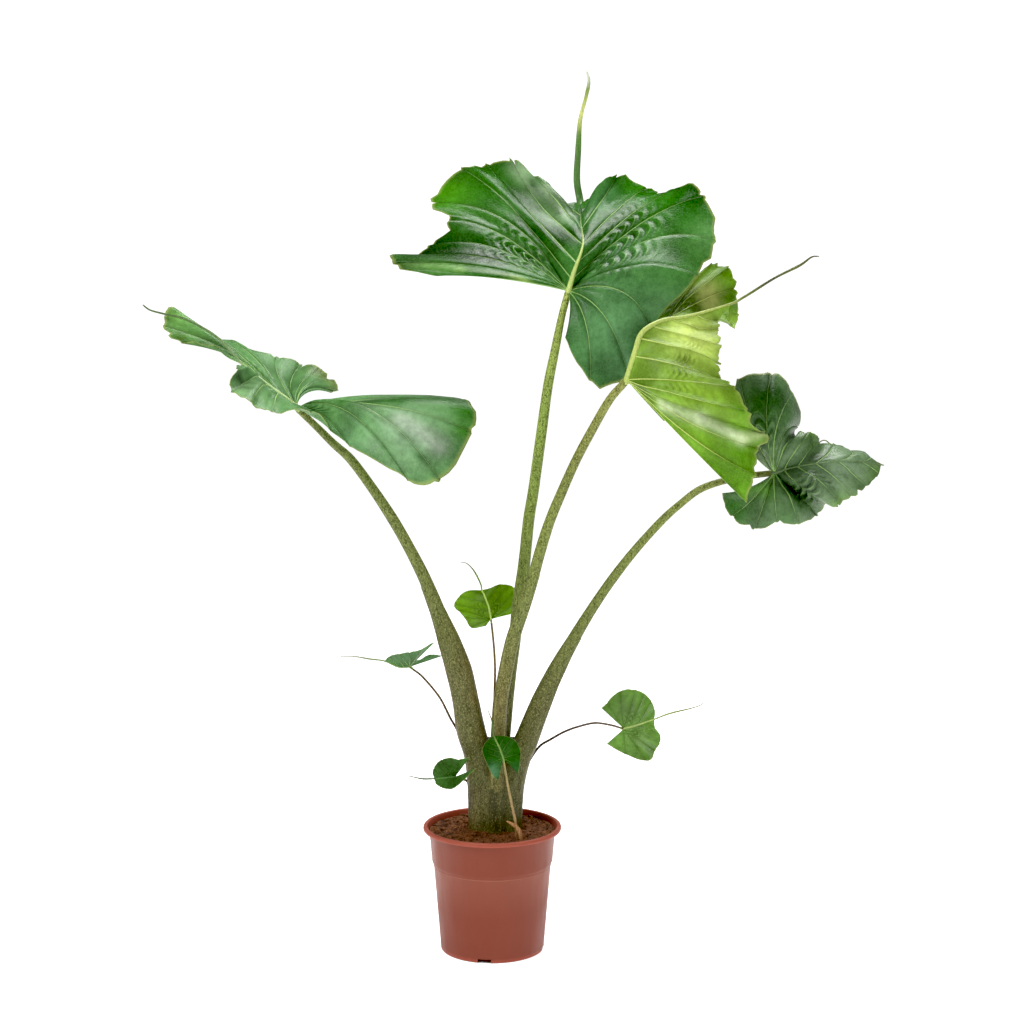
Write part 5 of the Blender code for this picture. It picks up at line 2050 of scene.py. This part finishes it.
@dataclass
class Plant:
    """All the leaves with their stalks."""

    def large(self) -> None:
        """Builds the blades, midribs and tails of the large leaves."""
        tops = {
            "upper": (0.26, 0.10), "lime": (0.30, 0.13), "dark": (0.27, 0.16), "left": (0.34, 0.13),
        }
        rib_skin = StalkSkin("leaf_rib", shade(110, 120, 60), 0.25, 0.4)
        for blade in LARGE_BLADES:
            roughness, gloss = tops[blade.name]
            upper = LeafSkin(
                f"leaf_{blade.name}_top", shade(158, 196, 120), roughness, 1.5, 0.8, gloss=gloss
            )
            under = LeafSkin(
                f"leaf_{blade.name}_underside", shade(196, 214, 118), roughness + 0.08, 1.2, 0.75,
                sunken=False, gloss=gloss,
            )
            for piece in (blade.sheet(upper, under), blade.rib(rib_skin)):
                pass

    def large_stalks(self) -> list[Stalk]:
        """The four large stalks.

        Returns:
            The stalks, each with its sheath margins and its colours from foot to blade.
        """
        # The stalks are darkest at the foot, which is their own browner base with painted shade
        # near the peat; the shaded patch paints shade round their feet.
        foot, low, middle = shades((82, 80, 50), (88, 88, 52), (104, 112, 60))
        shaded = patch_rows((6, -10, 172, 34, 50, 46, 26, 0.7))
        left = Stalk(
            "left", LARGE_LEAVES["left"],
            (foot, low, low, middle, *shades((104, 116, 62), (124, 136, 78))),
            lines=(SheathLine(566, 190, -0.25, -0.75, 1.0, 0.09, shade(110, 84, 52), 0.7),),
            patches=patch_rows(
                (-48, -8, 545, 16, 112, 92, 52, 0.5), (-36, -8, 500, 20, 122, 98, 50, 0.5),
                (-22, -8, 450, 22, 122, 98, 50, 0.55), (-12, -8, 395, 22, 120, 96, 50, 0.55),
                (-2, -10, 340, 20, 116, 92, 48, 0.5),
            ) + shaded,
            seed=3,
        )
        dark = Stalk(
            "dark", LARGE_LEAVES["dark"],
            (foot, low, low, middle, *shades((112, 124, 62), (124, 134, 70), (112, 118, 66))),
            lines=(SheathLine(486, 230, 3.4, 4.1, 0.9, 0.08, shade(96, 80, 48), 0.6),),
            patches=shaded, seed=13,
        )
        lime = Stalk(
            "lime", LARGE_LEAVES["lime"],
            (
                foot, *shades((100, 94, 54), (104, 96, 54)), middle,
                *shades((116, 128, 62), (112, 118, 58), (140, 146, 76)),
            ),
            lines=(
                SheathLine(590, 300, 3.5, 3.9, 0.8, 0.10, shade(160, 158, 104), 0.7),
                SheathLine(520, 200, 5.6, 5.2, 0.8, 0.08, shade(150, 150, 98), 0.7),
            ),
            patches=shaded, seed=19,
        )
        upper = Stalk(
            "upper", LARGE_LEAVES["upper"],
            (foot, low, middle, *shades((116, 134, 62), (128, 150, 68), (150, 166, 86))),
            patches=shaded, seed=29,
        )
        return [left, dark, lime, upper]

    def small_blades(self) -> list[Blade]:
        """The five small blades.

        Returns:
            The blades, each with its relief and its painted places.
        """
        gentle = Relief(
            side_gaps=4, lobe_gaps=3, rows=30, puff=0.7, pucker=0.15, cross_folds=8, ruffle=0.9,
            waves=4, crimp=0.25, ragged=0.5, thickness=0.5,
        )
        rows = (
            (
                "small_back", 51, (132, 182, 52), (0, -1, 0.2), (180, 206, 110),
                ((120, 150, 70), (96, 116, 60), (150, 150, 130)),
                ((-20, 45, 492, 16, 140, 176, 92, 0.7), (40, 50, 545, 18, 128, 184, 40, 0.6)),
            ),
            (
                "small_left", 53, (86, 134, 76), (0, -0.4, 1), (110, 140, 80),
                ((110, 130, 80), (130, 140, 110), (150, 150, 140)), (),
            ),
            (
                "small_low", 57, (80, 122, 62), (0, -1, 0.3), (84, 124, 66),
                ((70, 100, 60), (80, 90, 60), (90, 88, 76)), (),
            ),
            (
                "small_front", 59, (44, 94, 28), (0, -1, 0.2), (110, 140, 70),
                ((84, 110, 60), (72, 92, 54), (70, 70, 60)),
                ((0, -60, 288, 12, 110, 160, 120, 0.8), (40, -60, 292, 11, 60, 124, 66, 0.7)),
            ),
            (
                "small_right", 61, (116, 162, 72), (0, -1, 0.2), (150, 170, 96),
                ((130, 146, 76), (112, 124, 62), (84, 88, 56)),
                ((200, 22, 365, 24, 134, 166, 104, 0.7), (225, 10, 325, 22, 120, 156, 78, 0.5)),
            ),
        )
        return [
            Blade(
                name, SMALL_LEAVES[name], replace(gentle, seed=seed), shade(*base), way,
                patch_rows(*marks), shade(*rib), shades(*tail),
                rib_radii=(1.7, 1.2), tail_radii=(1.4, 0.9, 0.5),
            )
            for name, seed, base, way, rib, tail, marks in rows
        ]

    def small(self) -> None:
        """Builds the blades, midribs and tails of the small leaves."""
        rib_skin = StalkSkin("small_leaf_rib", shade(100, 110, 60), 0.2, 0.45)
        for blade in self.small_blades():
            upper = LeafSkin(f"leaf_{blade.name}_top", shade(140, 178, 96), 0.30, 0.6, 0.3, net=0.2)
            under = LeafSkin(
                f"leaf_{blade.name}_underside", shade(176, 200, 124), 0.45, 0.6, 0.55,
                sunken=False, net=0.2,
            )
            for piece in (blade.sheet(upper, under), blade.rib(rib_skin)):
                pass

    def stalks(self) -> None:
        """Builds all the stalks, and the clump where the large ones meet."""
        skin = StalkSkin("stalk_skin", shade(52, 56, 18), 0.85, 0.5)
        stalks = self.large_stalks()
        for stalk in stalks:
            stalk.build(skin)
        SheathClump(tuple(stalks)).build(skin)
        wiry = StalkSkin("small_stalk_skin", shade(44, 30, 18), 0.4, 0.55)
        brown = ((88, 62, 40), (78, 56, 36), (92, 76, 48))
        for name, colours in {
            "small_back": ((112, 78, 46), (116, 84, 50), (110, 96, 54)),
            "small_left": brown,
            "small_low": brown,
            "small_front": ((150, 110, 74), (166, 136, 96), (150, 146, 96)),
            "small_right": ((60, 46, 32), (52, 40, 30), (80, 62, 44)),
        }.items():
            SmallStalk(name, SMALL_LEAVES[name], shades(*colours)).build(wiry)

    def build(self) -> None:
        """Builds the whole plant."""
        self.large()
        self.small()
        self.stalks()


def main() -> None:
    """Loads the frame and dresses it."""
    logging.basicConfig(level=logging.INFO, format="%(message)s")
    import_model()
    Studio().build()
    Pot().build(PotPlastic())
    peat = Peat()
    crumb = PeatCrumb()
    peat.bed(crumb)
    peat.scatter(crumb)
    peat.threads(DryBits("peat_fibre", shade(150, 104, 66), shade(92, 58, 34)))
    litter = Litter()
    litter.bract(DryBits("dry_bract", shade(190, 146, 100), shade(140, 96, 60)))
    litter.rootlets(DryBits("rootlet", shade(84, 56, 34), shade(48, 30, 18)))
    Plant().build()
    LOG.info("boxes written")


if __name__ == "__main__":
    main()
